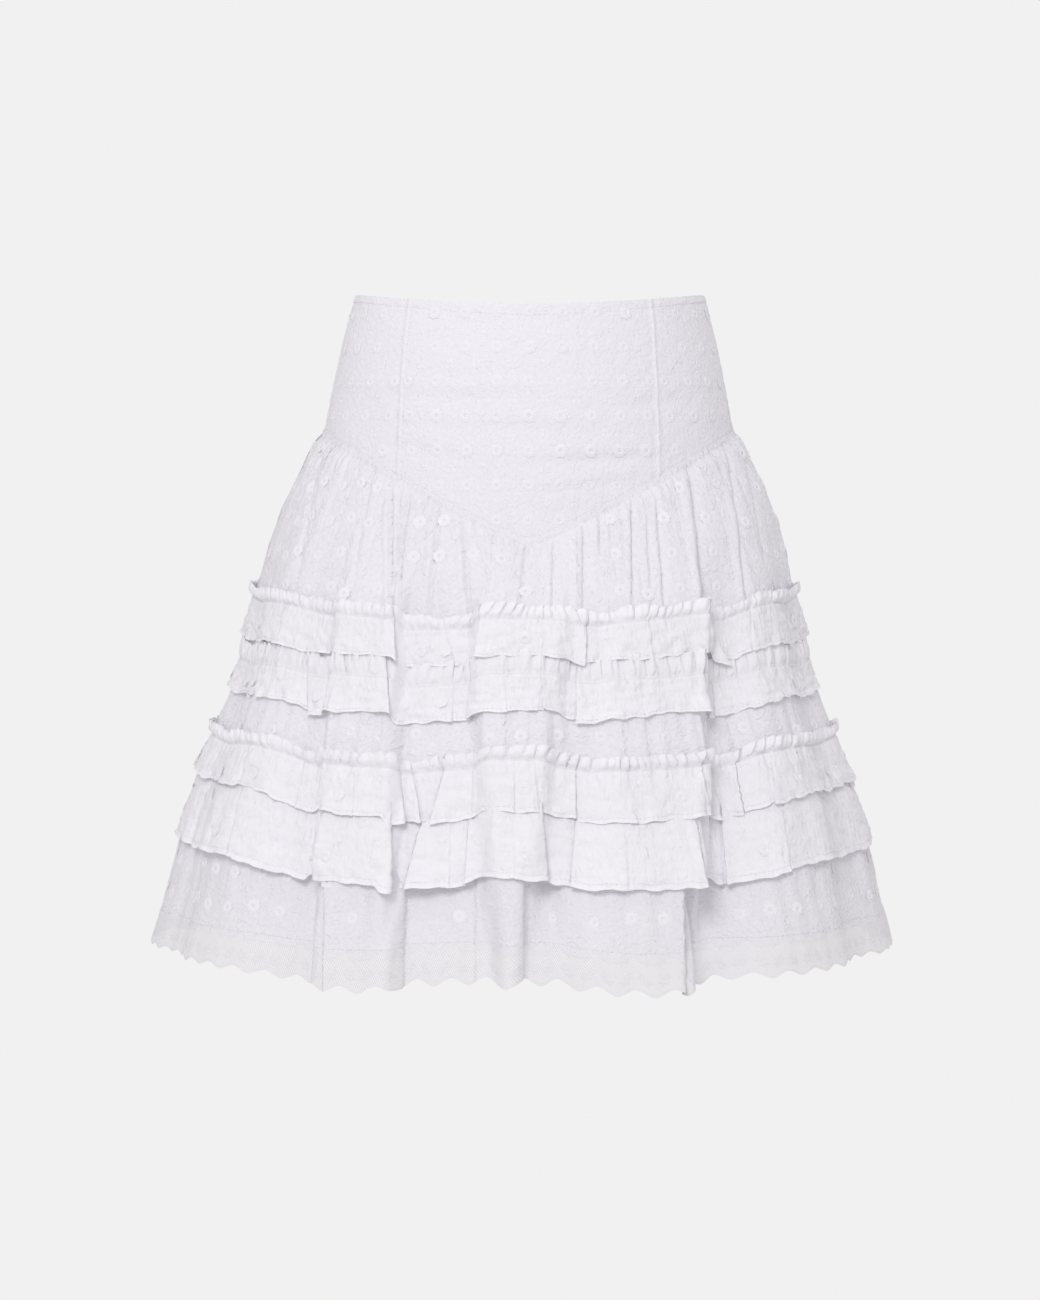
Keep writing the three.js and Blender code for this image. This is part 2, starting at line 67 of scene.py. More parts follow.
# %% The fitted yoke
BODY_ASPECT = 1.2
YOKE_TOP = {"left": 10, "right": 10, "front": 1.6, "back": 3}
YOKE_SEAM = {"side": -83, "front_point": 79, "back_point": 32, "rounding": 0.05}
PRINCESS = {"top": 42, "bottom": 36.5}

# height, half width, depth to the front, depth to the back, shift to +X
YOKE_SECTIONS = np.array([
    [12, 121.5, 89, 89, 0],
    [-28, 131.5, 97, 102, -0.5],
    [-77, 141.5, 106, 115, -0.9],
    [-120, 149, 112, 122, -1.3],
    [-166, 156, 117, 126, -1.7],
])

# %% The hanging cloth, level by level
# fold is the share of the large folds that shows, drop runs from 0 at the first ruffle to 1 at
# the hem, sag is how far a trough hangs down for each millimetre that it lies in, and hang is the
# share of HANGS that shows.
LEVELS = {
    "fall": dict(left=-141, right=-141, front=-187, back=-160, half_width=170, to_front=136,
                 to_back=147, shift=-1.5, fold=0.15, drop=0, sag=0.3, hang=0),
    "first": dict(left=-200, right=-200, front=-210, back=-206, half_width=190, to_front=155,
                  to_back=164, shift=-3.5, fold=1, drop=0, sag=0.8, hang=0.4),
    "second": dict(left=-244, right=-244, front=-246, back=-246, half_width=199, to_front=165,
                   to_back=173, shift=-4, fold=1, drop=0.16, sag=0.7, hang=0.5),
    "tier_seam": dict(left=-297, right=-297, front=-302, back=-301, half_width=217, to_front=180,
                      to_back=188, shift=-4.5, fold=1, drop=0.4, sag=0.5, hang=1),
    "fourth": dict(left=-307, right=-307, front=-315, back=-312, half_width=220.5, to_front=183.5,
                   to_back=191.5, shift=-4.5, fold=1, drop=0.45, sag=0.4, hang=1),
    "knee": dict(left=-366, right=-366, front=-368, back=-367, half_width=239, to_front=198,
                 to_back=205, shift=-5, fold=1, drop=0.7, sag=0.2, hang=0.9),
    "lace_seam": dict(left=-421, right=-421, front=-422, back=-422, half_width=254, to_front=211,
                      to_back=217, shift=-5.5, fold=1, drop=0.95, sag=-0.05, hang=0.7),
    "lace_tip": dict(left=-441, right=-442, front=-446, back=-446, half_width=260, to_front=216,
                     to_back=222, shift=-5.5, fold=1, drop=1, sag=-0.05, hang=0.8),
}

# One row for each large trough: its angle at the first ruffle and at the hem, its depth at
# both, half its width before and after its middle, and how steep each of its sides is.
FOLDS = [
    dict(ruffle=-18, hem=-11, ruffle_depth=9, hem_depth=18, before=8.5, after=7.5, steep=30, slope=14),
    dict(ruffle=12.9, hem=3.8, ruffle_depth=4, hem_depth=16, before=4.5, after=4.5, steep=10, slope=4),
    dict(ruffle=43.8, hem=30, ruffle_depth=10, hem_depth=28, before=3.2, after=8, steep=10, slope=4),
    dict(ruffle=-45.7, hem=-36.5, ruffle_depth=5, hem_depth=20, before=8, after=3.2, steep=3, slope=12),
    dict(ruffle=74, hem=66, ruffle_depth=4, hem_depth=10, before=6, after=6, steep=4, slope=4),
    dict(ruffle=-76, hem=-71, ruffle_depth=3, hem_depth=9, before=6, after=6, steep=4, slope=4),
    dict(ruffle=103, hem=100, ruffle_depth=4, hem_depth=12, before=6, after=6, steep=4, slope=4),
    dict(ruffle=129, hem=133, ruffle_depth=7, hem_depth=20, before=8, after=4, steep=4, slope=8),
    dict(ruffle=158, hem=162, ruffle_depth=6, hem_depth=14, before=6, after=6, steep=6, slope=4),
    dict(ruffle=193, hem=189, ruffle_depth=5, hem_depth=13, before=5.5, after=5.5, steep=4, slope=6),
    dict(ruffle=221, hem=216, ruffle_depth=8, hem_depth=22, before=4, after=8, steep=8, slope=4),
    dict(ruffle=250, hem=248, ruffle_depth=5, hem_depth=12, before=6, after=6, steep=4, slope=4),
]

# Where the tiers hang lower than their level, or higher where the drop is below nothing.
HANGS = [
    dict(angle=-32, half_width=13, drop=6),
    dict(angle=23, half_width=12, drop=7),
    dict(angle=-2, half_width=9, drop=-2.5),
    dict(angle=-52, half_width=10, drop=-2),
    dict(angle=147, half_width=14, drop=5),
    dict(angle=207, half_width=13, drop=5),
]

# One row for each ruffle: the level that it is stitched on at, how far its frill stands up, how far
# its lower edge stands off, how far it falls, how far the frill leans out, its waves round the
# body, the seed of its noise, and the height at its stitching on the embroidery's grid.
RUFFLES = [
    dict(name="ruffle_1", level="first", frill=9, flare=dict(left=4.5, right=4.5, front=2.6, back=6.5),
         fall=dict(left=27, right=28, front=24, back=25), frill_flare=4.5, waves=64, seed=11, cut=9),
    dict(name="ruffle_2", level="second", frill=15, flare=dict(left=3.4, right=3.6, front=1.5, back=6),
         fall=dict(left=19, right=20, front=24, back=23), frill_flare=1.3, waves=66, seed=12, cut=6),
    dict(name="ruffle_3", level="tier_seam", frill=9, flare=dict(left=7, right=6, front=2.5, back=9),
         fall=dict(left=24, right=30, front=33, back=31), frill_flare=5, waves=70, seed=13, cut=14),
    dict(name="ruffle_4", level="fourth", frill=0, flare=dict(left=7, right=5, front=3.0, back=9),
         fall=dict(left=60, right=65, front=63, back=63), frill_flare=0, waves=52, seed=14, cut=-5),
]

# %% [markdown]
# ## The base surface
#
# On a real skirt this is the plain hang of the cloth, before its gathers. It could be a mesh that
# is pushed about by hand, but every piece below has to lie on the same surface, so it is a
# function. Everything is worked out for whole arrays of angles at once. A level gives one point
# of the cloth at each angle, and a smooth curve through the levels gives the cloth at any height.

# %% Directions and lengths round the body
def outward(angle):
    turn = np.radians(angle)
    across, along = np.sin(turn) / BODY_ASPECT, -np.cos(turn)
    size = np.hypot(across, along)
    return np.stack([across / size, along / size], -1)


def onward(angle):
    """Along the cloth, square to outward, the way the angle grows."""
    return outward(angle)[..., ::-1] * np.array([-1, 1])


def front_or_back(angle, front, back):
    """One value over the front half and the other over the back half."""
    return np.where(np.cos(np.radians(angle)) > 0, front, back)


def length_round(lengths, angle):
    turn = np.radians(angle)
    side = np.where(np.sin(turn) > 0, lengths["right"], lengths["left"])
    end = front_or_back(angle, lengths["front"], lengths["back"])
    return side + (end - side) * np.cos(turn) ** 2


def angle_past(angle, other):
    return (angle - other + 180) % 360 - 180


def section_point(half_width, to_front, to_back, shift, angle):
    turn = np.radians(angle)
    depth = front_or_back(angle, to_front, to_back)
    return np.stack([shift + half_width * np.sin(turn), -depth * np.cos(turn)], -1)


# %% The yoke at any height
# A cubic through the sections keeps the figure's side smooth.
YOKE_CURVES = [np.polyfit(YOKE_SECTIONS[:, 0], YOKE_SECTIONS[:, k], 3) for k in (1, 2, 3, 4)]


def yoke_xy(angle, height):
    sizes = [np.polyval(curve, height) for curve in YOKE_CURVES]
    return section_point(*sizes, angle)


def yoke_seam_height(angle):
    point = front_or_back(angle, YOKE_SEAM["front_point"], YOKE_SEAM["back_point"])
    away = np.hypot(np.sin(np.radians(angle)), YOKE_SEAM["rounding"]) - YOKE_SEAM["rounding"]
    return YOKE_SEAM["side"] - point * (1 - away)


print("the yoke's front point is at", round(float(yoke_seam_height(0)), 1), "mm")


# %% The levels of the hanging cloth
def trough_depth(angle, level):
    depth = np.zeros_like(angle)
    for fold in FOLDS:
        centre = fold["ruffle"] + (fold["hem"] - fold["ruffle"]) * level["drop"]
        full = fold["ruffle_depth"] + (fold["hem_depth"] - fold["ruffle_depth"]) * level["drop"]
        past = angle_past(angle, centre)
        width = np.where(past < 0, fold["before"], fold["after"])
        power = np.where(past < 0, fold["steep"], fold["slope"])
        depth += level["fold"] * full / (1 + np.abs(past / width) ** power)
    return depth


def hang_at(angle):
    total = np.zeros_like(angle)
    for hang in HANGS:
        total += hang["drop"] / (1 + (angle_past(angle, hang["angle"]) / hang["half_width"]) ** 4)
    return total


def level_height(name, angle):
    level = LEVELS[name]
    return (length_round(level, angle) - level["sag"] * trough_depth(angle, level)
            - level["hang"] * hang_at(angle))


def level_xy(name, angle):
    level = LEVELS[name]
    sizes = [level[key] for key in ("half_width", "to_front", "to_back", "shift")]
    flat = section_point(*sizes, angle)
    return flat - outward(angle) * trough_depth(angle, level)[..., None]


# %% A smooth curve through the levels
def smooth_slopes(knots, values):
    """Slopes at the knots that keep a curve through them from overshooting."""
    step = np.diff(knots, axis=0)
    rise = np.diff(values, axis=0) / step
    slopes = np.zeros_like(values)
    slopes[0], slopes[-1] = rise[0], rise[-1]
    before, after = rise[:-1], rise[1:]
    weight = (step[:-1] + 2 * step[1:]) / (3 * (step[:-1] + step[1:]))
    same = before * after > 0
    safe = np.where(same, (1 - weight) * before + weight * after, 1)
    slopes[1:-1] = np.where(same, before * after / safe, 0)
    return slopes


def cloth_xy(angle, height):
    """The base surface at angle, one for each column, and height, rows by columns."""
    seam_height = yoke_seam_height(angle)
    knots = np.array([seam_height] + [level_height(name, angle) for name in LEVELS])
    places = np.array([yoke_xy(angle, seam_height)] + [level_xy(name, angle) for name in LEVELS])
    result = np.zeros(height.shape + (2,))
    for axis in (0, 1):
        values = places[..., axis]
        slopes = smooth_slopes(knots, values)
        for k in range(len(knots) - 1):
            step = knots[k + 1] - knots[k]
            share = (height - knots[k]) / step
            inside = (share >= 0) & (share < 1)
            if k == 0:
                inside |= share < 0
            if k == len(knots) - 2:
                inside |= share >= 1
            t = np.clip(share, 0, 1)
            curve = ((2 * t ** 3 - 3 * t ** 2 + 1) * values[k]
                     + (t ** 3 - 2 * t ** 2 + t) * step * slopes[k]
                     + (3 * t ** 2 - 2 * t ** 3) * values[k + 1]
                     + (t ** 3 - t ** 2) * step * slopes[k + 1])
            beyond = (share - t) * step * np.where(share > 1, slopes[k + 1], slopes[k])
            result[..., axis] = np.where(inside, curve + beyond, result[..., axis])
    return result


# %% [markdown]
# ## Gathers and crinkles
#
# Gathered cloth has no even wave, and one sine would look like a curtain. `ring_noise` adds a few
# waves round the body whose counts lie near the one asked for, with phases from a fixed seed.
# Plain noise would leave a step at the back, where these waves close on themselves.

# %% Uneven waves
WAVES_ADDED = 9
COUNT_SPREAD = 0.3


def ring_noise(angle, count, seed):
    """Uneven waves from -1 to 1, about that many of them round the body."""
    random = np.random.default_rng(seed)
    turn = np.radians(angle)
    fewest, most = int(count * (1 - COUNT_SPREAD)), int(count * (1 + COUNT_SPREAD)) + 2
    counts = random.integers(fewest, most, WAVES_ADDED)
    phases = random.uniform(0, 2 * math.pi, WAVES_ADDED)
    total = sum(np.sin(n * turn + phase) for n, phase in zip(counts, phases))
    return np.tanh(total / 2.2)


def gathers(angle, count, seed):
    """Round ridges with narrow valleys between them, from 0 in a valley to 1."""
    return np.sqrt(np.abs(ring_noise(angle, count / 2, seed)) + 0.02)


# %% Fades, ridges and patches
def fade(value, start, end):
    """0 before start, 1 after end, smooth between."""
    share = np.clip((value - start) / (end - start), 0, 1)
    return share * share * (3 - 2 * share)


def ridge(value, middle, width):
    """A soft ridge, 1 at its middle."""
    return np.exp(-((value - middle) / width) ** 2)


def zeros_over(first, second):
    """Zeros in the shape that two arrays fill together."""
    return np.zeros(np.broadcast(first, second).shape)


def in_front(angle):
    """1 in front, 0 behind, smooth at the side seams."""
    return fade(np.cos(np.radians(angle)), 0, 0.15)


def patches(angle, height, cells, seed):
    """Soft uneven patches over a surface, from -1 to 1, closed round the body."""
    random = np.random.default_rng(seed)
    turn = np.radians(angle)
    total = zeros_over(angle, height)
    for _ in range(10):
        round_count = random.integers(-cells, cells + 1)
        up = random.normal(0, cells / 160)
        total += np.sin(round_count * turn + up * height + random.uniform(0, 2 * math.pi))
    return np.tanh(total / 3)


# %% [markdown]
# ## Making a piece
#
# Each cut piece is a grid of points, rows down the cloth and columns round the body. A grid needs
# no unwrapping: it gets a UV map in millimetres of cloth, which the weave and the embroidery
# follow. The shell is one face thick, as thin cotton looks, and stands for its solid.

# %% Grid to mesh
def angle_columns(start, end, step):
    count = max(4, int(round((end - start) / step)))
    return np.linspace(start, end, count + 1)


def add_cloth(name, points, cloth_map, material):
    rows, columns = points.shape[:2]
    number = np.arange(rows * columns).reshape(rows, columns)
    quads = np.stack([number[:-1, :-1], number[1:, :-1], number[1:, 1:], number[:-1, 1:]], -1)
    quads = quads.reshape(-1, 4)
    mesh = bpy.data.meshes.new(name)
    mesh.from_pydata((points.reshape(-1, 3) * MM).tolist(), [], quads.tolist())
    layer = mesh.uv_layers.new(name="cloth")
    layer.data.foreach_set("uv", (cloth_map.reshape(-1, 2)[quads.reshape(-1)]).astype(np.float32).ravel())
    mesh.polygons.foreach_set("use_smooth", [True] * len(quads))
    mesh.materials.append(material)
    piece = bpy.data.objects.new(name + "_cloth", mesh)
    bpy.context.scene.collection.objects.link(piece)
    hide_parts(name)
    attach(piece, BODY)
    print(name, rows, "by", columns, "points")
    return piece


def place(flat, height):
    return np.concatenate([flat, height[..., None]], -1)


def surface_normals(points):
    across = np.gradient(points, axis=1)
    down = np.gradient(points, axis=0)
    normal = np.cross(down, across)
    return normal / np.linalg.norm(normal, axis=-1, keepdims=True)


# %% [markdown]
# ## Materials
#
# White cotton shows its make in small shadows, so most of each material is a bump: the weave,
# soft crinkles, and sprigs of embroidery on a grid. An image could hold them, but arithmetic stays
# sharp at any size. It is written as Python: `Shade` holds one socket, and its signs add Math
# nodes to the tree.

# %% Shader arithmetic
class Shade:
    """One output in a material's node tree."""

    def __init__(self, tree, socket=None):
        self.tree = tree
        self.socket = socket

    def join(self, target, value):
        if isinstance(value, Shade):
            self.tree.links.new(value.socket, target)
        else:
            target.default_value = value

    def node(self, kind, inputs=None, output=0, **settings):
        made = self.tree.nodes.new(kind)
        for name, value in settings.items():
            setattr(made, name, value)
        for name, value in (inputs or {}).items():
            self.join(made.inputs[name], value)
        return Shade(self.tree, made.outputs[output])

    def maths(self, operation, *values):
        return self.node("ShaderNodeMath", dict(enumerate(values)), operation=operation)

    def __add__(self, other):
        return self.maths("ADD", self, other)

    def __sub__(self, other):
        return self.maths("SUBTRACT", self, other)

    def __rsub__(self, other):
        return self.maths("SUBTRACT", other, self)

    def __mul__(self, other):
        return self.maths("MULTIPLY", self, other)

    def __truediv__(self, other):
        return self.maths("DIVIDE", self, other)

    __radd__ = __add__
    __rmul__ = __mul__

    def step_down(self, start, end):
        """1 below start, 0 above end, smooth between."""
        inputs = {"Value": self, "From Min": start, "From Max": end, "To Min": 1.0, "To Max": 0.0}
        return self.node("ShaderNodeMapRange", inputs, interpolation_type="SMOOTHSTEP")


def new_material(name):
    material = bpy.data.materials.new(name)
    material.use_nodes = True
    material.node_tree.nodes.clear()
    return material, Shade(material.node_tree)


# %% The finish that all materials share
def finish_material(shade, colour, height, depth, glow, opacity=None, roughness=0.9):
    """A rough surface with a bump of that depth in metres. glow is its share of light let through."""
    bump = shade.node("ShaderNodeBump", {"Height": height, "Distance": depth, "Strength": 1.0})
    surface = shade.node("ShaderNodeBsdfPrincipled", {
        "Base Color": colour, "Roughness": roughness, "Specular IOR Level": 0.2,
        "Sheen Weight": 0.05, "Sheen Roughness": 0.6, "Normal": bump})
    through = shade.node("ShaderNodeBsdfTranslucent", {"Color": (0.93, 0.92, 0.945, 1)})
    cloth = shade.node("ShaderNodeMixShader", {0: glow, 1: surface, 2: through})
    if opacity is not None:
        clear = shade.node("ShaderNodeBsdfTransparent", {"Color": (1, 1, 1, 1)})
        cloth = shade.node("ShaderNodeMixShader", {0: opacity, 1: clear, 2: cloth})
    out = shade.tree.nodes.new("ShaderNodeOutputMaterial")
    shade.tree.links.new(cloth.socket, out.inputs["Surface"])


def cloth_coordinates(shade):
    """The two cloth coordinates in millimetres."""
    place_on_cloth = shade.node("ShaderNodeUVMap", uv_map="cloth")
    split = shade.tree.nodes.new("ShaderNodeSeparateXYZ")
    shade.tree.links.new(place_on_cloth.socket, split.inputs[0])
    return place_on_cloth, Shade(shade.tree, split.outputs[0]), Shade(shade.tree, split.outputs[1])


def weave(shade, place_on_cloth, scale=1.3):
    """The fine unevenness of woven cotton, from 0 to 1."""
    inputs = {"Vector": place_on_cloth, "Scale": scale, "Detail": 4.0, "Roughness": 0.6}
    return shade.node("ShaderNodeTexNoise", inputs)


# %% The grid of the embroidery
# A ring of eight petals round a small hole sits in each cell of a grid, and little sprigs of
# crossed leaves lie between the rings.
CELL = (22.5, 23.5)
CELL_START = (0.0, -4.5)
HOLE = 1.2
CLOTH_BUMP = 0.0012


def cell_place(shade, value, size, start):
    """Distance in millimetres from the middle of the nearest cell, with its sign."""
    share = (value - start) / size + 0.5
    return (share - shade.maths("FLOOR", share) - 0.5) * size


def sprig_shape(shade, x, y, reach, width):
    """Four leaves crossed in an X round the middle, 1 on them and 0 off them."""
    leaf = shade.maths("MINIMUM", shade.maths("ABSOLUTE", x - y), shade.maths("ABSOLUTE", x + y))
    distance = shade.maths("SQRT", x * x + y * y)
    ends = distance.step_down(reach - 0.8, reach) * (1 - distance.step_down(0.6, 1.4))
    return leaf.step_down(width * 0.3, width) * ends


def ring_holes(shade, across, up):
    """1 in the hole in the middle of each ring."""
    x = cell_place(shade, across, CELL[0], CELL_START[0])
    y = cell_place(shade, up, CELL[1], CELL_START[1])
    return shade.maths("SQRT", x * x + y * y).step_down(HOLE - 0.6, HOLE + 0.1)


def sprigs_between(shade, across, up):
    """A large sprig in the middle of each four rings, and a small one between two in a row."""
    x = cell_place(shade, across, CELL[0], CELL_START[0] + CELL[0] / 2)
    y = cell_place(shade, up, CELL[1], CELL_START[1] + CELL[1] / 2)
    in_row = cell_place(shade, up, CELL[1], CELL_START[1])
    return sprig_shape(shade, x, y, 4.4, 1.5) + sprig_shape(shade, x, in_row, 3.2, 1.2) * 0.7


# %% Embroidered cotton
def eyelet_material(name, colour, wrinkle, crumple, relief, glow=0.13):
    """wrinkle, crumple and relief are the heights of fine crinkles, soft ones and the sprigs."""
    material, shade = new_material(name)
    place_on_cloth, across, up = cloth_coordinates(shade)
    hole = ring_holes(shade, across, up)
    sprigs = sprigs_between(shade, across, up)
    cloth = weave(shade, place_on_cloth)
    crinkle = shade.node("ShaderNodeTexNoise", {
        "Vector": place_on_cloth, "Scale": 0.3, "Detail": 3.0, "Roughness": 0.65, "Distortion": 0.4})
    pebble = shade.node("ShaderNodeTexVoronoi", {
        "Vector": place_on_cloth, "Scale": 0.42, "Randomness": 0.9})
    soft = shade.node("ShaderNodeTexNoise", {
        "Vector": place_on_cloth, "Scale": 0.12, "Detail": 2.0, "Distortion": 1.0})
    height = cloth * 0.15 + crinkle * wrinkle + soft * crumple + sprigs * relief + pebble * 0.055
    tint = shade.node("ShaderNodeMix", {
        0: sprigs * 0.5, 6: colour, 7: (0.93, 0.91, 0.96, 1)}, output=2, data_type="RGBA")
    finish_material(shade, tint, height, CLOTH_BUMP, glow, opacity=1 - hole * 0.09)
    return material


# %% The ruffles' plain cotton
def cotton_material(name):
    """Its crinkles run down the cloth, the long way of each gather."""
    material, shade = new_material(name)
    place_on_cloth, across, up = cloth_coordinates(shade)
    sprigs = sprigs_between(shade, across, up)
    long_way = shade.node("ShaderNodeCombineXYZ", {0: across, 1: up * 0.5, 2: 0.0})
    crinkle = shade.node("ShaderNodeTexNoise", {
        "Vector": long_way, "Scale": 0.26, "Detail": 4.0, "Roughness": 0.62, "Distortion": 0.6})
    pebble = shade.node("ShaderNodeTexVoronoi", {
        "Vector": place_on_cloth, "Scale": 0.3, "Randomness": 1.0})
    soft = shade.node("ShaderNodeTexNoise", {
        "Vector": long_way, "Scale": 0.12, "Detail": 2.0, "Distortion": 1.2})
    height = weave(shade, place_on_cloth) * 0.15 + crinkle * 0.8 + soft * 1.1
    height = height + pebble * 0.05 + sprigs * 0.16
    finish_material(shade, (0.948, 0.93, 0.972, 1), height, CLOTH_BUMP, 0.14)
    return material


# %% Embroidery thread
def thread_material(name):
    material, shade = new_material(name)
    grain = shade.node("ShaderNodeTexNoise", {
        "Vector": shade.node("ShaderNodeTexCoord", output=3), "Scale": 2500.0, "Detail": 2.0})
    finish_material(shade, (0.925, 0.907, 0.95, 1), grain, 0.0001, 0.12, roughness=0.85)
    return material


# %% Net lace
LACE_SCALLOP = 22.5
LACE_DEPTH = 5.5
NET_HOLE = (1.3, 1.1)
FLOWER_ROW = 13.0
EDGE_BAND = 22.0


def lace_material(name):
    """Net with a row of flowers, a corded edge and a solid band below its seam."""
    material, shade = new_material(name)
    place_on_cloth, across, up = cloth_coordinates(shade)
    net_x = cell_place(shade, across + up * 0.5, NET_HOLE[0], 0.0)
    net_y = cell_place(shade, up, NET_HOLE[1], 0.0)
    mesh_hole = shade.maths("SQRT", net_x * net_x + net_y * net_y).step_down(0.25, 0.5)
    x = cell_place(shade, across, LACE_SCALLOP / 2, LACE_SCALLOP / 4)
    y = cell_place(shade, up, FLOWER_ROW, 9.0)
    distance = shade.maths("SQRT", x * x + y * y)
    turn = shade.maths("ARCTAN2", y, x)
    petal = distance - shade.maths("COSINE", turn * 6.0) * 1.1
    flower = petal.step_down(2.6, 3.4) * (1 - distance.step_down(0.5, 0.9))
    edge = up.step_down(1.4, 2.2)
    band = shade.maths("ABSOLUTE", up - EDGE_BAND).step_down(0.8, 1.4)
    solid = shade.maths("MINIMUM", flower + edge + band, 1.0)
    cover = 1 - mesh_hole * (1 - solid) * 0.42
    height = weave(shade, place_on_cloth, 2.0) * 0.15 + solid * 0.13
    finish_material(shade, (0.84, 0.822, 0.854, 1), height, CLOTH_BUMP, 0.18, opacity=cover)
    return material


# %% Lacquered metal and twill tape
TWILL_PITCH = 0.0011


def metal_material(name):
    material, shade = new_material(name)
    grain = shade.node("ShaderNodeTexNoise", {
        "Vector": shade.node("ShaderNodeTexCoord", output=3), "Scale": 900.0, "Detail": 3.0})
    finish_material(shade, (0.78, 0.78, 0.8, 1), grain, 0.00003, 0.0, roughness=0.32)
    return material


def tape_material(name):
    """Twill tape: fine slanting ribs."""
    material, shade = new_material(name)
    split = shade.tree.nodes.new("ShaderNodeSeparateXYZ")
    shade.tree.links.new(shade.node("ShaderNodeTexCoord", output=3).socket, split.inputs[0])
    x, z = Shade(shade.tree, split.outputs[0]), Shade(shade.tree, split.outputs[2])
    ribs = shade.maths("SINE", (x + z) * (2 * math.pi / TWILL_PITCH))
    finish_material(shade, (0.9, 0.9, 0.915, 1), ribs, 0.00008, 0.1, roughness=0.8)
    return material


# %% The skirt's materials
EYELET_YOKE = eyelet_material("eyelet_cotton_smooth", (0.85, 0.831, 0.88, 1), 0.9, 0.35, 0.17, glow=0.06)
EYELET_TIER = eyelet_material("eyelet_cotton_gathered", (0.888, 0.869, 0.918, 1), 1.2, 0.6, 0.27)
# The lower tier uses the gathered cotton painted a little darker: painted shade for the shadow it lies in
# under the fourth ruffle.
EYELET_LOWER_SHADED = eyelet_material("eyelet_cotton_painted_shade", (0.848, 0.829, 0.876, 1), 1.0, 0.8, 0.22)
RUFFLE_COTTON = cotton_material("ruffle_cotton")
LACE = lace_material("net_lace")
THREAD = thread_material("embroidery_thread")
METAL = metal_material("lacquered_metal")
TAPE = tape_material("woven_tape")
print("materials made:", [material.name for material in bpy.data.materials])

# %% [markdown]
# ## The yoke
#
# The yoke is fitted, so its seven panels have no gathers. They meet along raised seams, and a few
# soft wrinkles lie across the front. A bump could hold the wrinkles, but they are long enough to
# change the light over the whole front, so the grid's own points move.

# %% The yoke's wrinkles and seams
# Middle across, height, half length, half height, depth and tilt of each soft wrinkle in front.
WRINKLES = [
    dict(across=-40, height=-63, half_length=45, half_height=5, depth=0.9, tilt=0.02),
    dict(across=-8, height=-84, half_length=60, half_height=5, depth=0.6, tilt=-0.03),
    dict(across=45, height=-105, half_length=42, half_height=4.5, depth=1.3, tilt=0.05),
    dict(across=40, height=-123, half_length=30, half_height=4, depth=0.9, tilt=0.08),
    dict(across=-70, height=-100, half_length=24, half_height=5, depth=0.7, tilt=-0.15),
    dict(across=88, height=-66, half_length=24, half_height=5, depth=0.8, tilt=0.1),
]


def wrinkle_depth(across, height, front):
    depth = np.zeros_like(height)
    for row in WRINKLES:
        x = (across - row["across"]) / row["half_length"]
        y = (height - row["height"] - row["tilt"] * (across - row["across"])) / row["half_height"]
        depth += row["depth"] * ridge(x, 0, 1) * (ridge(y, 0, 1) - 0.6 * ridge(y, 1.7, 1))
    return depth * front


def seam_ridge(edge, height):
    """A puckered ridge along a seam and the dip beside it. edge is the distance from the seam."""
    pucker = np.sin(height * 2 * math.pi / 7.5 + np.sin(height * 0.21) * 2)
    return (0.85 + 0.15 * pucker) * ridge(edge, 0, 1.6) - 0.25 * ridge(edge, 3.4, 1.3)


# %% One panel of the yoke
YOKE_ROWS = 84
COLUMN_DEGREES = 0.6
MM_PER_DEGREE = 2.3


def arc_lengths(points, middle):
    """Distance along each row of points from the middle column."""
    step = np.linalg.norm(np.diff(points, axis=1), axis=-1)
    length = np.concatenate([np.zeros((len(points), 1)), np.cumsum(step, axis=1)], 1)
    return length - length[:, middle:middle + 1]


def yoke_panel(name, left, right):
    """left and right are the angles of the panel's sides at its top and at its foot."""
    columns = int(round((right[0] - left[0]) / COLUMN_DEGREES)) // 2 * 2
    side = np.linspace(0, 1, columns + 1)
    down = np.linspace(0, 1, YOKE_ROWS)[:, None]
    start = left[0] + (left[1] - left[0]) * down
    end = right[0] + (right[1] - right[0]) * down
    angle = start + (end - start) * side
    top = length_round(YOKE_TOP, angle)
    height = top + (yoke_seam_height(angle) - top) * down
    flat = yoke_xy(angle, height)
    edge = np.minimum(angle - start, end - angle) * MM_PER_DEGREE
    out = seam_ridge(edge, height)
    out -= wrinkle_depth(flat[..., 0], height, front_or_back(angle, 1.0, 0.35))
    out += 0.35 * patches(angle, height, 14, 21) + 0.16 * patches(angle, height, 60, 22)
    above_seam = height - yoke_seam_height(angle)
    ripple = ring_noise(angle, 84, 23) * np.exp(-above_seam / 6)
    out += 0.35 * ripple * fade(above_seam, 0, 2)
    below_top = top - height
    out += 0.25 * ridge(below_top, 3.2, 1.2) - 0.3 * ridge(below_top, 6.2, 0.6)
    flat = flat + outward(angle) * out[..., None]
    points = place(flat, height)
    cloth_map = np.stack([arc_lengths(points, columns // 2), height], -1)
    return add_cloth(name, points, cloth_map, EYELET_YOKE), points, cloth_map


# %% Yoke panels
SIDE = (90, 90)
PANELS = {
    "yoke_front": ((-PRINCESS["top"], -PRINCESS["bottom"]), (PRINCESS["top"], PRINCESS["bottom"])),
    "yoke_side_front_right": ((PRINCESS["top"], PRINCESS["bottom"]), SIDE),
    "yoke_side_back_right": (SIDE, (180 - PRINCESS["top"], 180 - PRINCESS["bottom"])),
    "yoke_back_right": ((180 - PRINCESS["top"], 180 - PRINCESS["bottom"]), (180, 180)),
    "yoke_back_left": ((180, 180), (180 + PRINCESS["top"], 180 + PRINCESS["bottom"])),
    "yoke_side_back_left": ((180 + PRINCESS["top"], 180 + PRINCESS["bottom"]), (270, 270)),
    "yoke_side_front_left": ((270, 270), (360 - PRINCESS["top"], 360 - PRINCESS["bottom"])),
}
made = {name: yoke_panel(name, *edges) for name, edges in PANELS.items()}
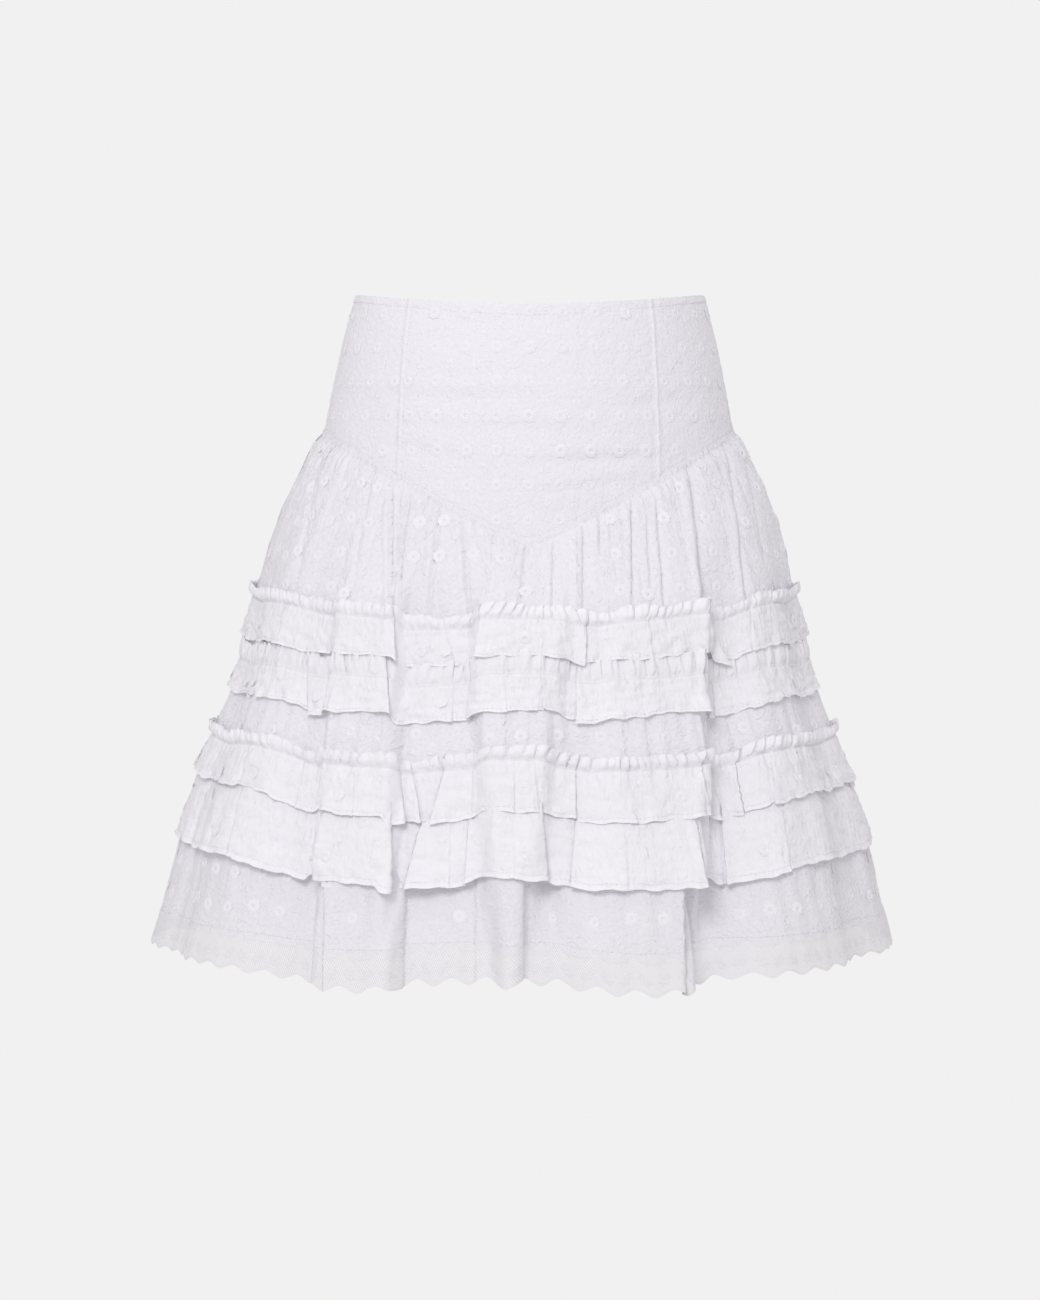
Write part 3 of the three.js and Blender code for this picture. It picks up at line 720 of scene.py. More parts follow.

# %% [markdown]
# ## The two tiers
#
# The upper tier is gathered into the yoke, so it puffs out below the seam and falls in narrow
# creases. Noise alone gives creases of one kind, evenly spread. In front each large crease is
# placed one by one, with the photograph's own gaps, and finer gathers fade out below each seam.

# %% Creases of the upper tier
# Where each crease of the upper tier starts below the yoke and ends at the first ruffle, across
# from the centre front, with its depth, half its width and the shares of the way it runs between.
CREASES = [
    dict(top=-141, foot=-163, depth=1.2, half_width=2.5, start=0.0, end=0.9),
    dict(top=-106, foot=-124, depth=1.7, half_width=1.6, start=0.0, end=0.9),
    dict(top=-93, foot=-93.5, depth=3.0, half_width=1.3, start=0.05, end=1.2),
    dict(top=-87, foot=-87, depth=2.2, half_width=1.1, start=0.0, end=1.0),
    dict(top=-80, foot=-95, depth=2.4, half_width=1.4, start=0.0, end=0.8),
    dict(top=-60, foot=-69.5, depth=2.5, half_width=1.4, start=0.0, end=1.0),
    dict(top=-61, foot=-60, depth=1.2, half_width=1.0, start=0.5, end=1.1),
    dict(top=-45, foot=-40, depth=2.7, half_width=1.5, start=0.0, end=1.1),
    dict(top=-36, foot=-19, depth=1.2, half_width=1.8, start=0.0, end=0.8),
    dict(top=-3, foot=-8.5, depth=2.1, half_width=1.3, start=0.0, end=0.9),
    dict(top=15, foot=14.5, depth=2.1, half_width=1.2, start=0.0, end=0.9),
    dict(top=31, foot=31.5, depth=1.4, half_width=1.0, start=0.0, end=0.9),
    dict(top=35, foot=35, depth=3.1, half_width=1.6, start=0.0, end=1.2),
    dict(top=46, foot=46, depth=2.1, half_width=1.4, start=0.0, end=0.35),
    dict(top=67, foot=68, depth=2.2, half_width=1.3, start=0.0, end=0.9),
    dict(top=76, foot=81, depth=1.2, half_width=1.2, start=0.2, end=0.9),
    dict(top=83, foot=90, depth=1.8, half_width=1.3, start=0.1, end=1.0),
    dict(top=107, foot=118, depth=4.8, half_width=2.2, start=0.0, end=1.3),
    dict(top=133, foot=148, depth=3.3, half_width=1.6, start=0.0, end=1.0),
    dict(top=144, foot=166, depth=1.5, half_width=1.6, start=0.0, end=0.7),
]


def crease_depth(angle, across, share):
    """Narrow valleys, steep on one side with a soft ridge beside it, in front only."""
    depth = zeros_over(across, share)
    for crease in CREASES:
        middle = crease["top"] + (crease["foot"] - crease["top"]) * share
        past = (across - middle) / crease["half_width"]
        width = np.where(past < 0, 0.5, 1.3)
        shape = np.exp(-np.abs(past / width) ** 1.4) - 0.3 * ridge(past, -2.2, 1.4)
        ends = fade(share, crease["start"] - 0.05, crease["start"] + 0.12)
        ends = ends * (1 - fade(share, crease["end"] * 0.75, crease["end"] * 1.15))
        depth += 1.3 * crease["depth"] * shape * ends
    return depth * in_front(angle)


# %% Upper tier shape
TIER_STEPS = {"front": 0.36, "back": 0.6}
SEAM_LAP = 2.2


def upper_out(angle, height, across):
    """How far the upper tier's cloth stands off the base surface."""
    below = yoke_seam_height(angle) - height
    to_ruffle = yoke_seam_height(angle) - level_height("first", angle)
    share = below / to_ruffle
    to_seam = height - level_height("tier_seam", angle)
    top_end = fade(below, 0, 10)
    puff = 3.0 * fade(below, -0.5, 8) * (1 - fade(share, 0.35, 1.0)) - 0.5 * fade(-below, 1.2, SEAM_LAP)
    seam = (1.05 + 0.45 * ring_noise(angle, 150, 39)) * ridge(below, -0.4, 0.9)
    bunched = 0.35 + 0.65 * fade(ring_noise(angle, 9, 36), -0.6, 0.6)
    fine = 2.1 * (gathers(angle, 170, 31) - 0.4) * ridge(below, 0, 15) * fade(below, -0.5, 2.5)
    fine += 1.1 * (gathers(angle, 110, 40) - 0.5) * ridge(below, 0, 38) * fade(below, 0, 6)
    broad = 1.9 * front_or_back(angle, 0.45, 1.0) * (gathers(angle + 1.2 * share, 60, 32) - 0.6)
    broad = broad * top_end * (1 - fade(share, 0.5, 1.5))
    low = 0.7 * ring_noise(angle, 80, 33) * fade(share, 0.9, 1.6)
    tuck = 1.0 * (gathers(angle, 130, 34) - 0.6) * np.exp(-to_seam / 12)
    crease = crease_depth(angle, across, np.clip(share, 0, 2)) * fade(below, 0, 4)
    uneven = 0.5 * patches(angle, height, 24, 35) * fade(below, 2, 20)
    return puff + seam + bunched * fine + broad + low + tuck - crease + uneven


# %% Pleats of the lower tier
# The lower tier's pleats: where the front part's edge runs, how far it stands out, its side and
# how far back it lies down again, as in the ruffles' table.
TIER_LAPS = [
    dict(across=-135, lap=2.4, side=-1, reach=12),
    dict(across=-84, lap=3.8, side=1, reach=16),
    dict(across=-36, lap=1.5, side=-1, reach=10),
    dict(across=-6, lap=3.5, side=1, reach=10),
    dict(across=98, lap=4.8, side=1, reach=18),
]

# Where the lower tier falls back under the fourth ruffle, in front.
TIER_RECESSES = [
    dict(across=-146, height=-370, half_width=8, half_height=18, depth=5),
    dict(across=-63, height=-376, half_width=26, half_height=30, depth=6.5),
    dict(across=6, height=-378, half_width=14, half_height=32, depth=5.2),
    dict(across=113, height=-388, half_width=15, half_height=50, depth=3.8),
    dict(across=103.5, height=-395, half_width=4.5, half_height=60, depth=7),
]


def lower_laps(angle, height, across):
    """How far the pleats of the lower tier stand out, and how far they hang over, in front."""
    laps, over = zeros_over(across, height), zeros_over(across, height)
    for row in TIER_LAPS:
        back = (row["across"] - across) * row["side"]
        shape = fade(back, -0.9, 0.9) * np.exp(-(np.clip(back, 0, None) / row["reach"]) ** 1.4)
        laps += row["lap"] * shape
        over += row["lap"] * row["side"] * 0.7 * shape
    shown = in_front(angle) * (1 - fade(height, -380, -368))
    return laps * shown, over * shown


# %% Lower tier shape
def lower_out(angle, height, across):
    """How far the lower tier's cloth stands off the base surface."""
    above = height - level_height("lace_seam", angle)
    broad = 1.1 * ring_noise(angle, 30, 41) + 0.6 * ring_noise(angle, 78, 42)
    broad = broad * (0.5 + 0.5 * fade(above, 0, 30)) + 0.5 * patches(angle, height, 30, 43)
    recess = zeros_over(across, above)
    for row in TIER_RECESSES:
        x = (across - row["across"]) / row["half_width"]
        y = (height - row["height"]) / row["half_height"]
        recess += row["depth"] * np.exp(-x ** 4 - y ** 2)
    return broad - (1.5 + recess * fade(above, -16, 6)) * in_front(angle)


# %% Places on the tiers' cloth
def upper_cloth(angle, height):
    on_yoke = (height > yoke_seam_height(angle))[..., None]
    flat = np.where(on_yoke, yoke_xy(angle, height), cloth_xy(angle, height))
    return flat + outward(angle) * upper_out(angle, height, flat[..., 0])[..., None]


def lower_cloth(angle, height, stand=0.0):
    """stand lifts the cloth off the tier, for what is sewn on it."""
    flat = cloth_xy(angle, height)
    laps, over = lower_laps(angle, height, flat[..., 0])
    out = lower_out(angle, height, flat[..., 0]) + laps + stand
    return flat + outward(angle) * out[..., None] + onward(angle) * over[..., None]


def tier_map(angle, height, radius):
    """The gathers push the rows of embroidery about."""
    across = np.radians(angle) * radius + 2.5 * ring_noise(angle, 15, 37)
    return np.stack(np.broadcast_arrays(across, height + 2.5 * ring_noise(angle, 30, 38)), -1)


def add_tier(name, angle, down, edges, cloth, radius, material):
    """down holds each row's share of the way from the upper edge to the lower one."""
    top, foot = edges
    height = top + (foot - top) * down[:, None]
    points = place(cloth(angle, height), height)
    cloth_map = tier_map(angle, height, radius)
    made[name] = (add_cloth(name, points, cloth_map, material), points, cloth_map)


# %% Tier pieces
HALVES = {"front": (-90, 90), "back": (90, 270)}
UPPER_ROWS = np.linspace(0, 1, 92) ** 1.05
LOWER_ROWS = np.linspace(0, 1, 62)
TIER_GAP = 0.2
for half, (start, end) in HALVES.items():
    angle = angle_columns(start, end, TIER_STEPS[half])
    tier_seam = level_height("tier_seam", angle)
    upper_edges = (yoke_seam_height(angle) + SEAM_LAP, tier_seam)
    lower_edges = (tier_seam - TIER_GAP, level_height("lace_seam", angle))
    add_tier("upper_tier_" + half, angle, UPPER_ROWS, upper_edges, upper_cloth, 190, EYELET_TIER)
    add_tier("lower_tier_" + half, angle, LOWER_ROWS, lower_edges, lower_cloth, 240, EYELET_LOWER_SHADED)

# %% [markdown]
# ## The ruffles
#
# A ruffle is a strip gathered on a thread and stitched on along it. Above the stitching stands a
# narrow puffed frill. Below it the cloth hangs nearly smooth between a few folds, where one part
# laps over the next and the lower edge steps. Waves alone can't lap, so each fold also moves the
# cloth along the body, and its place is given in a table.

# %% Folds of the ruffles
# Where each fold starts at the stitching and ends at the lower edge, across from the centre
# front. lap is how far the cloth in front stands out, side is 1 where that cloth lies to the
# left of the line and -1 where it lies to the right, reach is how far the lap runs back, and
# step is how much lower its edge hangs.
RUFFLE_FOLDS = {
    "ruffle_1": [
        dict(top=-165, foot=-172, lap=1.6, side=-1, reach=9, step=1.0),
        dict(top=-121, foot=-119, lap=1.0, side=1, reach=12, step=0.3),
        dict(top=-92, foot=-90, lap=6, side=1, reach=9, step=0.0),
        dict(top=-56, foot=-49, lap=1.2, side=-1, reach=7, step=0.4),
        dict(top=-32, foot=-34, lap=4.5, side=-1, reach=8, step=0.0),
        dict(top=9, foot=7.5, lap=1.8, side=-1, reach=10, step=0.6),
        dict(top=36, foot=33, lap=4, side=1, reach=12, step=1.0),
        dict(top=78, foot=80, lap=0.9, side=1, reach=8, step=0.2),
        dict(top=115, foot=127, lap=6, side=1, reach=9, step=3.4),
        dict(top=149, foot=149, lap=1.6, side=-1, reach=8, step=1.4),
        dict(top=170, foot=176, lap=1.2, side=1, reach=10, step=0.8),
    ],
    "ruffle_2": [
        dict(top=-178, foot=-184, lap=1.2, side=-1, reach=9, step=0.6),
        dict(top=-148, foot=-145, lap=3.5, side=-1, reach=20, step=3.2),
        dict(top=-96, foot=-94, lap=6, side=1, reach=9, step=0.0),
        dict(top=-51, foot=-52, lap=1.3, side=1, reach=8, step=0.6),
        dict(top=-38, foot=-39, lap=4.5, side=-1, reach=7, step=0.0),
        dict(top=-18, foot=-16, lap=0.9, side=1, reach=10, step=0.2),
        dict(top=7, foot=10, lap=2.8, side=-1, reach=8, step=-2.2),
        dict(top=31, foot=31, lap=4, side=-1, reach=26, step=3.0),
        dict(top=77, foot=75, lap=1.0, side=-1, reach=9, step=0.2),
        dict(top=112, foot=114, lap=5, side=1, reach=10, step=0.4),
        dict(top=121, foot=120, lap=2.6, side=1, reach=5, step=0.6),
        dict(top=148, foot=148, lap=1.0, side=-1, reach=10, step=0.3),
    ],
    "ruffle_3": [
        dict(top=-190, foot=-196, lap=1.2, side=1, reach=12, step=0.6),
        dict(top=-150, foot=-154, lap=0.8, side=-1, reach=14, step=0.2),
        dict(top=-115, foot=-116, lap=1.5, side=1, reach=14, step=0.4),
        dict(top=-87, foot=-83, lap=4.5, side=1, reach=12, step=0.0),
        dict(top=-78, foot=-73, lap=4, side=1, reach=6, step=0.4),
        dict(top=-55, foot=-62, lap=5, side=-1, reach=9, step=1.0),
        dict(top=-37, foot=-38, lap=1.2, side=-1, reach=9, step=0.0),
        dict(top=-11, foot=-11, lap=1.3, side=1, reach=12, step=0.6),
        dict(top=2, foot=5, lap=1.2, side=1, reach=7, step=0.3),
        dict(top=29, foot=28, lap=2.4, side=1, reach=8, step=-1.6),
        dict(top=62, foot=64, lap=0.9, side=-1, reach=10, step=0.6),
        dict(top=110, foot=114, lap=4.5, side=1, reach=10, step=0.0),
        dict(top=118, foot=122, lap=4, side=1, reach=5, step=0.4),
        dict(top=135, foot=138, lap=3, side=1, reach=8, step=1.4),
        dict(top=161, foot=161, lap=3, side=-1, reach=10, step=1.2),
    ],
    "ruffle_4": [
        dict(top=-190, foot=-198, lap=2.4, side=-1, reach=14, step=0.6),
        dict(top=-142, foot=-146, lap=0.9, side=1, reach=18, step=0.3),
        dict(top=-94, foot=-92, lap=6.5, side=1, reach=14, step=0.0),
        dict(top=-65, foot=-78, lap=5.5, side=-1, reach=10, step=1.4),
        dict(top=-52, foot=-53, lap=1.0, side=1, reach=8, step=0.3),
        dict(top=-38, foot=-41, lap=3.5, side=-1, reach=10, step=-1.0),
        dict(top=-11, foot=-11, lap=1.0, side=-1, reach=10, step=0.2),
        dict(top=4, foot=7, lap=6.5, side=1, reach=9, step=0.6),
        dict(top=32, foot=27, lap=4, side=-1, reach=8, step=-1.4),
        dict(top=60, foot=62, lap=0.8, side=1, reach=12, step=0.2),
        dict(top=104, foot=109, lap=6, side=1, reach=12, step=0.8),
        dict(top=127, foot=129, lap=5, side=-1, reach=12, step=0.4),
        dict(top=164, foot=170, lap=1.2, side=1, reach=14, step=0.3),
    ],
}


# %% How a fold laps over the next part
OVERHANG = 0.9


def fold_laps(name, angle, across, share):
    """How far each fold's front part stands out, hangs over the next and hangs lower.
    share runs from 0 at the stitching to 1 at the lower edge. Ruffle 3 covers the top of ruffle 4,
    so the folds there grow lower down."""
    lap, over, step = np.zeros_like(across), np.zeros_like(across), np.zeros_like(across)
    growth = 0.08 + 0.92 * share ** 1.6 if name == "ruffle_4" else 0.35 + 0.65 * share
    for fold in RUFFLE_FOLDS[name]:
        back = (fold["top"] + (fold["foot"] - fold["top"]) * share - across) * fold["side"]
        shape = fade(back, -0.7, 0.7) * np.exp(-(np.clip(back, 0, None) / fold["reach"]) ** 1.4)
        lap += fold["lap"] * growth * (shape - 0.3 * ridge(back, -1.3, 1.1))
        over += fold["lap"] * fold["side"] * OVERHANG * (0.6 + 0.4 * share) * shape
        step += fold["step"] * shape * share
    front = in_front(angle)
    return lap * front, over * front, step * front


# %% The cloth below a ruffle's stitching
def bunching(ruffle, angle):
    """Some stretches are gathered more than others."""
    return 0.4 + 0.6 * fade(ring_noise(angle, 9, ruffle["seed"] + 9), -0.5, 0.7)


def hanging_part(ruffle, angle, below, share, behind):
    """How far the gathers below the stitching stand off, and their middle and broad waves."""
    seed, waves = ruffle["seed"], ruffle["waves"]
    flare = length_round(ruffle["flare"], angle) * (1 + 0.35 * ring_noise(angle, 7, seed + 14))
    bunched = bunching(ruffle, angle)
    turned = angle + 2.4 * ring_noise(angle, 18, seed + 1) * share
    turned = turned + 0.7 * patches(angle, below * 6, 20, seed)
    fine = gathers(turned, 4.2 * waves, seed + 2) - 0.6
    middle = gathers(turned, 2.0 * waves, seed + 3) - 0.6
    broad = ring_noise(turned, waves * 0.7, seed + 4)
    stand = 0.9 + 0.62 * flare * share ** 0.75 + 0.5 * ridge(below, 1.5, math.sqrt(3)) * (share > 0)
    stand = stand + fine * bunched * (fade(share, 0, 0.08) - 0.8 * fade(share, 0.15, 1.0))
    fading = bunched * fade(share, 0.02, 0.3) * (1 - 0.6 * share)
    stand = stand + middle * (0.4 + 0.7 * behind) * fading
    stand = stand + broad * 0.26 * flare * behind * share ** 1.1 + 0.5 * broad * share
    return stand, middle, broad


# %% The frill above a ruffle's stitching
def frill_part(ruffle, angle, rise):
    """How far the frill stands off, and its puffs. rise runs from 0 at the stitching to 1."""
    seed, waves = ruffle["seed"], ruffle["waves"]
    beaded = 0.6 + 0.4 * bunching(ruffle, angle)
    slanted = angle + 1.3 * rise * ring_noise(angle, 9, seed + 5)
    puffs = 3.2 * (gathers(slanted, 2.5 * waves, seed + 6) ** 1.6 - 0.5) * beaded
    crinkled = ring_noise(angle, 3.9 * waves, seed + 10) * beaded
    puffed = (1.2 * puffs + 0.4 * crinkled) * min(1, ruffle["frill_flare"] / 2.2)
    stand = 0.85 * ruffle["frill_flare"] * rise ** 0.9
    stand = stand + 0.9 * np.sin(math.pi * np.clip(rise * 1.15, 0, 1))
    return stand + puffed * fade(rise, 0, 0.35), puffs


# %% A ruffle's points
def ruffle_points(ruffle, angle, below, fall):
    """The ruffle's cloth. below is the distance down from the stitching, or up the frill if minus."""
    seed = ruffle["seed"]
    share = np.clip(below / fall, 0, 1)
    rise = np.clip(-below / max(ruffle["frill"], 1), 0, 1)
    behind = front_or_back(angle, 0.4, 1.0)
    hanging, middle, broad = hanging_part(ruffle, angle, below, share, behind)
    frill, puffs = frill_part(ruffle, angle, rise)
    hem_waves = 0.7 * ring_noise(angle, 26, seed + 7) + 0.5 * ring_noise(angle, 85, seed + 13)
    drop = below + share * (hem_waves - 0.8 * behind * broad)
    drop = drop - rise * (0.9 * puffs + ring_noise(angle, 24, seed + 8))
    level = level_height(ruffle["level"], angle)
    height = level - drop
    base = cloth_xy(angle, np.minimum(height, yoke_seam_height(angle)))
    lap, over, step = fold_laps(ruffle["name"], angle, base[..., 0], share)
    hem = 0.3 * ridge(fall - below, 0.6, 0.9) - 0.25 * ridge(fall - below, 3.4, 0.6)
    uneven = 0.55 * patches(angle, height, 80, seed + 11) + 0.35 * patches(angle, height, 150, seed + 12)
    stand = hanging + frill + lap + hem + uneven * fade(share, 0.05, 0.4)
    carrier = lower_cloth if ruffle["name"] == "ruffle_4" else upper_cloth
    pinch = carrier(angle, level[None, :]) - cloth_xy(angle, level[None, :])
    near_stitching = 1 - fade(share, 0.1, 0.5)
    roll = behind * share * (0.9 * np.roll(broad, 3, axis=-1) + 0.5 * middle) + rise * 0.9 * puffs
    flat = base + pinch * near_stitching[..., None] + outward(angle) * stand[..., None]
    flat = flat + onward(angle) * (roll + over)[..., None]
    return place(flat, height - step)


# %% Ruffle pieces
RUFFLE_STEPS = {"front": 0.25, "back": 0.5}
FRILL_ROWS = 8


def add_ruffle(ruffle, half, start, end):
    angle = angle_columns(start, end, RUFFLE_STEPS[half])
    fall = length_round(ruffle["fall"], angle)
    down = np.linspace(0, 1, 34 if ruffle["frill"] == 0 else 24)[:, None]
    below = down * fall
    if ruffle["frill"]:
        up = np.linspace(1, 0, FRILL_ROWS + 1)[:-1, None]
        below = np.concatenate([-up * ruffle["frill"] * np.ones_like(fall), below])
    points = ruffle_points(ruffle, angle, below, fall)
    name = ruffle["name"] + "_" + half
    cloth_map = np.stack(np.broadcast_arrays(np.radians(angle) * 235, ruffle["cut"] - below), -1)
    return add_cloth(name, points, cloth_map, RUFFLE_COTTON), points, cloth_map


for ruffle in RUFFLES:
    for half, (start, end) in HALVES.items():
        made[ruffle["name"] + "_" + half] = add_ruffle(ruffle, half, start, end)

# %% [markdown]
# ## The lace edging
#
# The edging is net with flowers and a scalloped edge, sewn on below the lower tier. Modelled holes
# would take millions of faces, so its material lets light through the net instead. Its outline is
# real: the grid's lower edge runs in pointed scallops, and its map counts up from that edge.

# %% Lace pieces
SCALLOPS = 66
LACE_DEGREES = 0.34
LACE_ROWS = 18
LACE_LIFT = 0.3
for half, (start, end) in HALVES.items():
    angle = angle_columns(start, end, LACE_DEGREES)
    share = (angle / 360 * SCALLOPS) % 1
    point = 0.35 * np.abs(2 * share - 1) + 0.325 * (1 + np.cos(2 * math.pi * share))
    depth = LACE_DEPTH * (0.7 + 0.3 * np.cos(2 * np.radians(angle)))
    foot = level_height("lace_tip", angle) - 2 + depth * point
    top = level_height("lace_seam", angle) + LACE_LIFT
    down = np.linspace(0, 1, LACE_ROWS)[:, None]
    height = top + (foot - top) * down
    points = place(lower_cloth(angle, height, LACE_LIFT), height)
    across = np.broadcast_to(angle / 360 * SCALLOPS * LACE_SCALLOP, height.shape)
    cloth_map = np.stack([across, height - foot], -1)
    name = "lace_" + half
    made[name] = (add_cloth(name, points, cloth_map, LACE), points, cloth_map)

# %% [markdown]
# ## Embroidered rings
#
# On the real cloth, satin stitch stands up round each small hole. A bump would stay flat against
# the light, so one raised ring is modelled, and Geometry Nodes sets it on every point of the
# embroidery's grid, turned to face the way the cloth does there. The nodes do for hundreds of
# rings what a loop with copies would do slowly.

# %% The ring
# From the hole outward: the radius of each band, how high it stands and how far its petals reach.
RING_BANDS = [
    dict(radius=HOLE, rise=-0.05, petal=0),
    dict(radius=1.9, rise=0.42, petal=0),
    dict(radius=2.7, rise=0.42, petal=0.05),
    dict(radius=3.2, rise=0.08, petal=0.1),
    dict(radius=3.9, rise=0.26, petal=0.35),
    dict(radius=4.6, rise=-0.1, petal=0.45),
]


def ring_mesh():
    """A raised ring round the hole, with a low border of eight petals."""
    segments = 16
    turn = np.arange(segments) * 2 * math.pi / segments
    points = []
    for band in RING_BANDS:
        size = band["radius"] + band["petal"] * np.cos(8 * turn)
        rise = np.full(segments, band["rise"])
        points += np.stack([size * np.cos(turn), size * np.sin(turn), rise], -1).tolist()
    number = np.arange(len(points)).reshape(-1, segments)
    after = np.roll(number, -1, axis=1)
    faces = np.stack([number[:-1], number[1:], after[1:], after[:-1]], -1).reshape(-1, 4).tolist()
    mesh = bpy.data.meshes.new("ring")
    mesh.from_pydata((np.array(points) * MM).tolist(), [], faces)
    mesh.polygons.foreach_set("use_smooth", [True] * len(faces))
    ring = bpy.data.objects.new("ring_pattern", mesh)
    bpy.context.scene.collection.objects.link(ring)
    return ring


# %% Where the rings go
RING_MARGIN = 5.0
RING_LIFT = 0.1
NEAR_A_CELL = 2.5
NEIGHBOURS = 8
WIDER_NEIGHBOURS = 12


def nearest_points(offset, nearest):
    """For each cell of the grid, the row and column of the point that lies nearest its middle."""
    distance = np.hypot(offset[..., 0], offset[..., 1])
    best = {}
    for row, column in zip(*np.nonzero(distance < NEAR_A_CELL)):
        key = tuple(nearest[row, column])
        if key not in best or distance[row, column] < distance[best[key]]:
            best[key] = (row, column)
    return best.values()


def too_steep(normals, row, column, stretch, least):
    """Whether a ring would lie in a fold, or on cloth that a fold stretches."""
    around = normals[row, max(0, column - WIDER_NEIGHBOURS):column + WIDER_NEIGHBOURS + 1].mean(0)
    level = normals[row, column] @ around / np.linalg.norm(around)
    beside = normals[row, max(0, column - NEIGHBOURS):column + NEIGHBOURS + 1] @ normals[row, column]
    return level < 0.93 or beside.min() < least or stretch > 1.6


def ring_places(points, cloth_map, kept, least):
    """Where the embroidery's grid falls on a piece, and the ways the cloth faces and runs there.
    kept is the share that shows, and least is how far a ring's neighbours may turn away."""
    normals = surface_normals(points)
    cell = (cloth_map - CELL_START) / CELL
    nearest = np.round(cell)
    offset = (cell - nearest) * CELL
    rows, columns = offset.shape[:2]
    random = np.random.default_rng(51)
    places, facings, alongs = [], [], []
    for row, column in nearest_points(offset, nearest):
        if not (1 < row < rows - 2 and 2 < column < columns - 3) or random.random() > kept:
            continue
        across = points[row, column + 1] - points[row, column - 1]
        down = points[row + 1, column] - points[row - 1, column]
        map_across = cloth_map[row, column + 1] - cloth_map[row, column - 1]
        map_down = cloth_map[row + 1, column] - cloth_map[row - 1, column]
        shares = np.linalg.solve(np.stack([map_across, map_down], 1), -offset[row, column])
        spot = points[row, column] + across * shares[0] + down * shares[1]
        room = np.abs(cloth_map[[0, -1], column, 1] - cloth_map[row, column, 1]).min()
        stretch = np.linalg.norm(across) / np.linalg.norm(map_across)
        if room < RING_MARGIN or too_steep(normals, row, column, stretch, least):
            continue
        places.append(spot + RING_LIFT * normals[row, column])
        facings.append(normals[row, column])
        alongs.append(across)
    return np.array(places), np.array(facings), np.array(alongs)


# %% The Geometry Nodes tree
def scatter_tree(name):
    """Sets one object on every vertex, its length and its face turned to the vertex's own directions."""
    tree = bpy.data.node_groups.new(name, "GeometryNodeTree")
    face = tree.interface
    face.new_socket("Places", in_out="INPUT", socket_type="NodeSocketGeometry")
    face.new_socket("Pattern", in_out="INPUT", socket_type="NodeSocketObject")
    face.new_socket("Size", in_out="INPUT", socket_type="NodeSocketFloat")
    face.new_socket("Material", in_out="INPUT", socket_type="NodeSocketMaterial")
    face.new_socket("Geometry", in_out="OUTPUT", socket_type="NodeSocketGeometry")
    add = tree.nodes.new
    start, end = add("NodeGroupInput"), add("NodeGroupOutput")
    along, facing = add("GeometryNodeInputNamedAttribute"), add("GeometryNodeInputNamedAttribute")
    for attribute, word in ((along, "along"), (facing, "facing")):
        attribute.data_type = "FLOAT_VECTOR"
        attribute.inputs["Name"].default_value = word
    turn, tilt = add("FunctionNodeAlignRotationToVector"), add("FunctionNodeAlignRotationToVector")
    turn.axis = "X"
    tilt.axis = "Z"
    tilt.pivot_axis = "X"
    spot, onto = add("GeometryNodeObjectInfo"), add("GeometryNodeInstanceOnPoints")
    real, paint = add("GeometryNodeRealizeInstances"), add("GeometryNodeSetMaterial")
    links = [
        (start.outputs["Places"], onto.inputs["Points"]),
        (start.outputs["Pattern"], spot.inputs["Object"]),
        (spot.outputs["Geometry"], onto.inputs["Instance"]),
        (along.outputs["Attribute"], turn.inputs["Vector"]),
        (turn.outputs["Rotation"], tilt.inputs["Rotation"]),
        (facing.outputs["Attribute"], tilt.inputs["Vector"]),
        (tilt.outputs["Rotation"], onto.inputs["Rotation"]),
        (start.outputs["Size"], onto.inputs["Scale"]),
        (onto.outputs["Instances"], real.inputs["Geometry"]),
        (real.outputs["Geometry"], paint.inputs["Geometry"]),
        (start.outputs["Material"], paint.inputs["Material"]),
        (paint.outputs["Geometry"], end.inputs["Geometry"]),
    ]
    for output, target in links:
        tree.links.new(output, target)
    return tree


# %% Setting a pattern on a list of places
def scatter(tree, name, spots, pattern, size, material):
    """spots holds the places, the ways they face and the ways they run."""
    places, facings, alongs = spots
    mesh = bpy.data.meshes.new(name + "_places")
    mesh.from_pydata((places * MM).tolist(), [], [])
    for word, ways in (("facing", facings), ("along", alongs)):
        attribute = mesh.attributes.new(word, "FLOAT_VECTOR", "POINT")
        attribute.data.foreach_set("vector", ways.astype(np.float32).ravel())
    piece = bpy.data.objects.new(name, mesh)
    bpy.context.scene.collection.objects.link(piece)
    nodes = piece.modifiers.new("scatter", "NODES")
    nodes.node_group = tree
    socket = {item.name: item.identifier for item in tree.interface.items_tree if item.in_out == "INPUT"}
    nodes[socket["Pattern"]] = pattern
    nodes[socket["Size"]] = size
    nodes[socket["Material"]] = material
    graph = bpy.context.evaluated_depsgraph_get()
    baked = bpy.data.meshes.new_from_object(piece.evaluated_get(graph))
    piece.modifiers.remove(nodes)
    piece.data = baked
    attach(piece, BODY)
    print(name, len(places), "places,", len(baked.polygons), "faces")
    return piece


# %% Set the rings
def slot_of(name):
    return "ruffle_cotton" if name.startswith("ruffle") else "eyelet_cotton"


# On the ruffles only some rings show, since most lie in their folds.
RING_SHARES = {"eyelet_cotton": dict(kept=1.0, least=0.35), "ruffle_cotton": dict(kept=0.35, least=0.6)}

ring = ring_mesh()
scatter_on_cloth = scatter_tree("set_on_cloth")
trims = {name: [] for name in made}
for name, (piece, points, cloth_map) in made.items():
    if not name.startswith("lace"):
        spots = ring_places(points, cloth_map, **RING_SHARES[slot_of(name)])
        rings = scatter(scatter_on_cloth, name + "_rings", spots, ring, 1.0, THREAD)
        trims[name].append(rings)
bpy.data.objects.remove(ring)

# %% [markdown]
# ## Stitching
#
# The seams are top-stitched. Each stitch is a short thread that dips into the cloth at both ends,
# so it is a spindle with three sections, and the same tree as for the rings sets it at an even
# pitch along a row or a column of a piece's grid: below each frill, above each hem, beside the
# yoke's seams and over the lace.

# %% The stitch and its lines
STITCH_PITCH = 3.1
STITCH_LIFT = 0.12
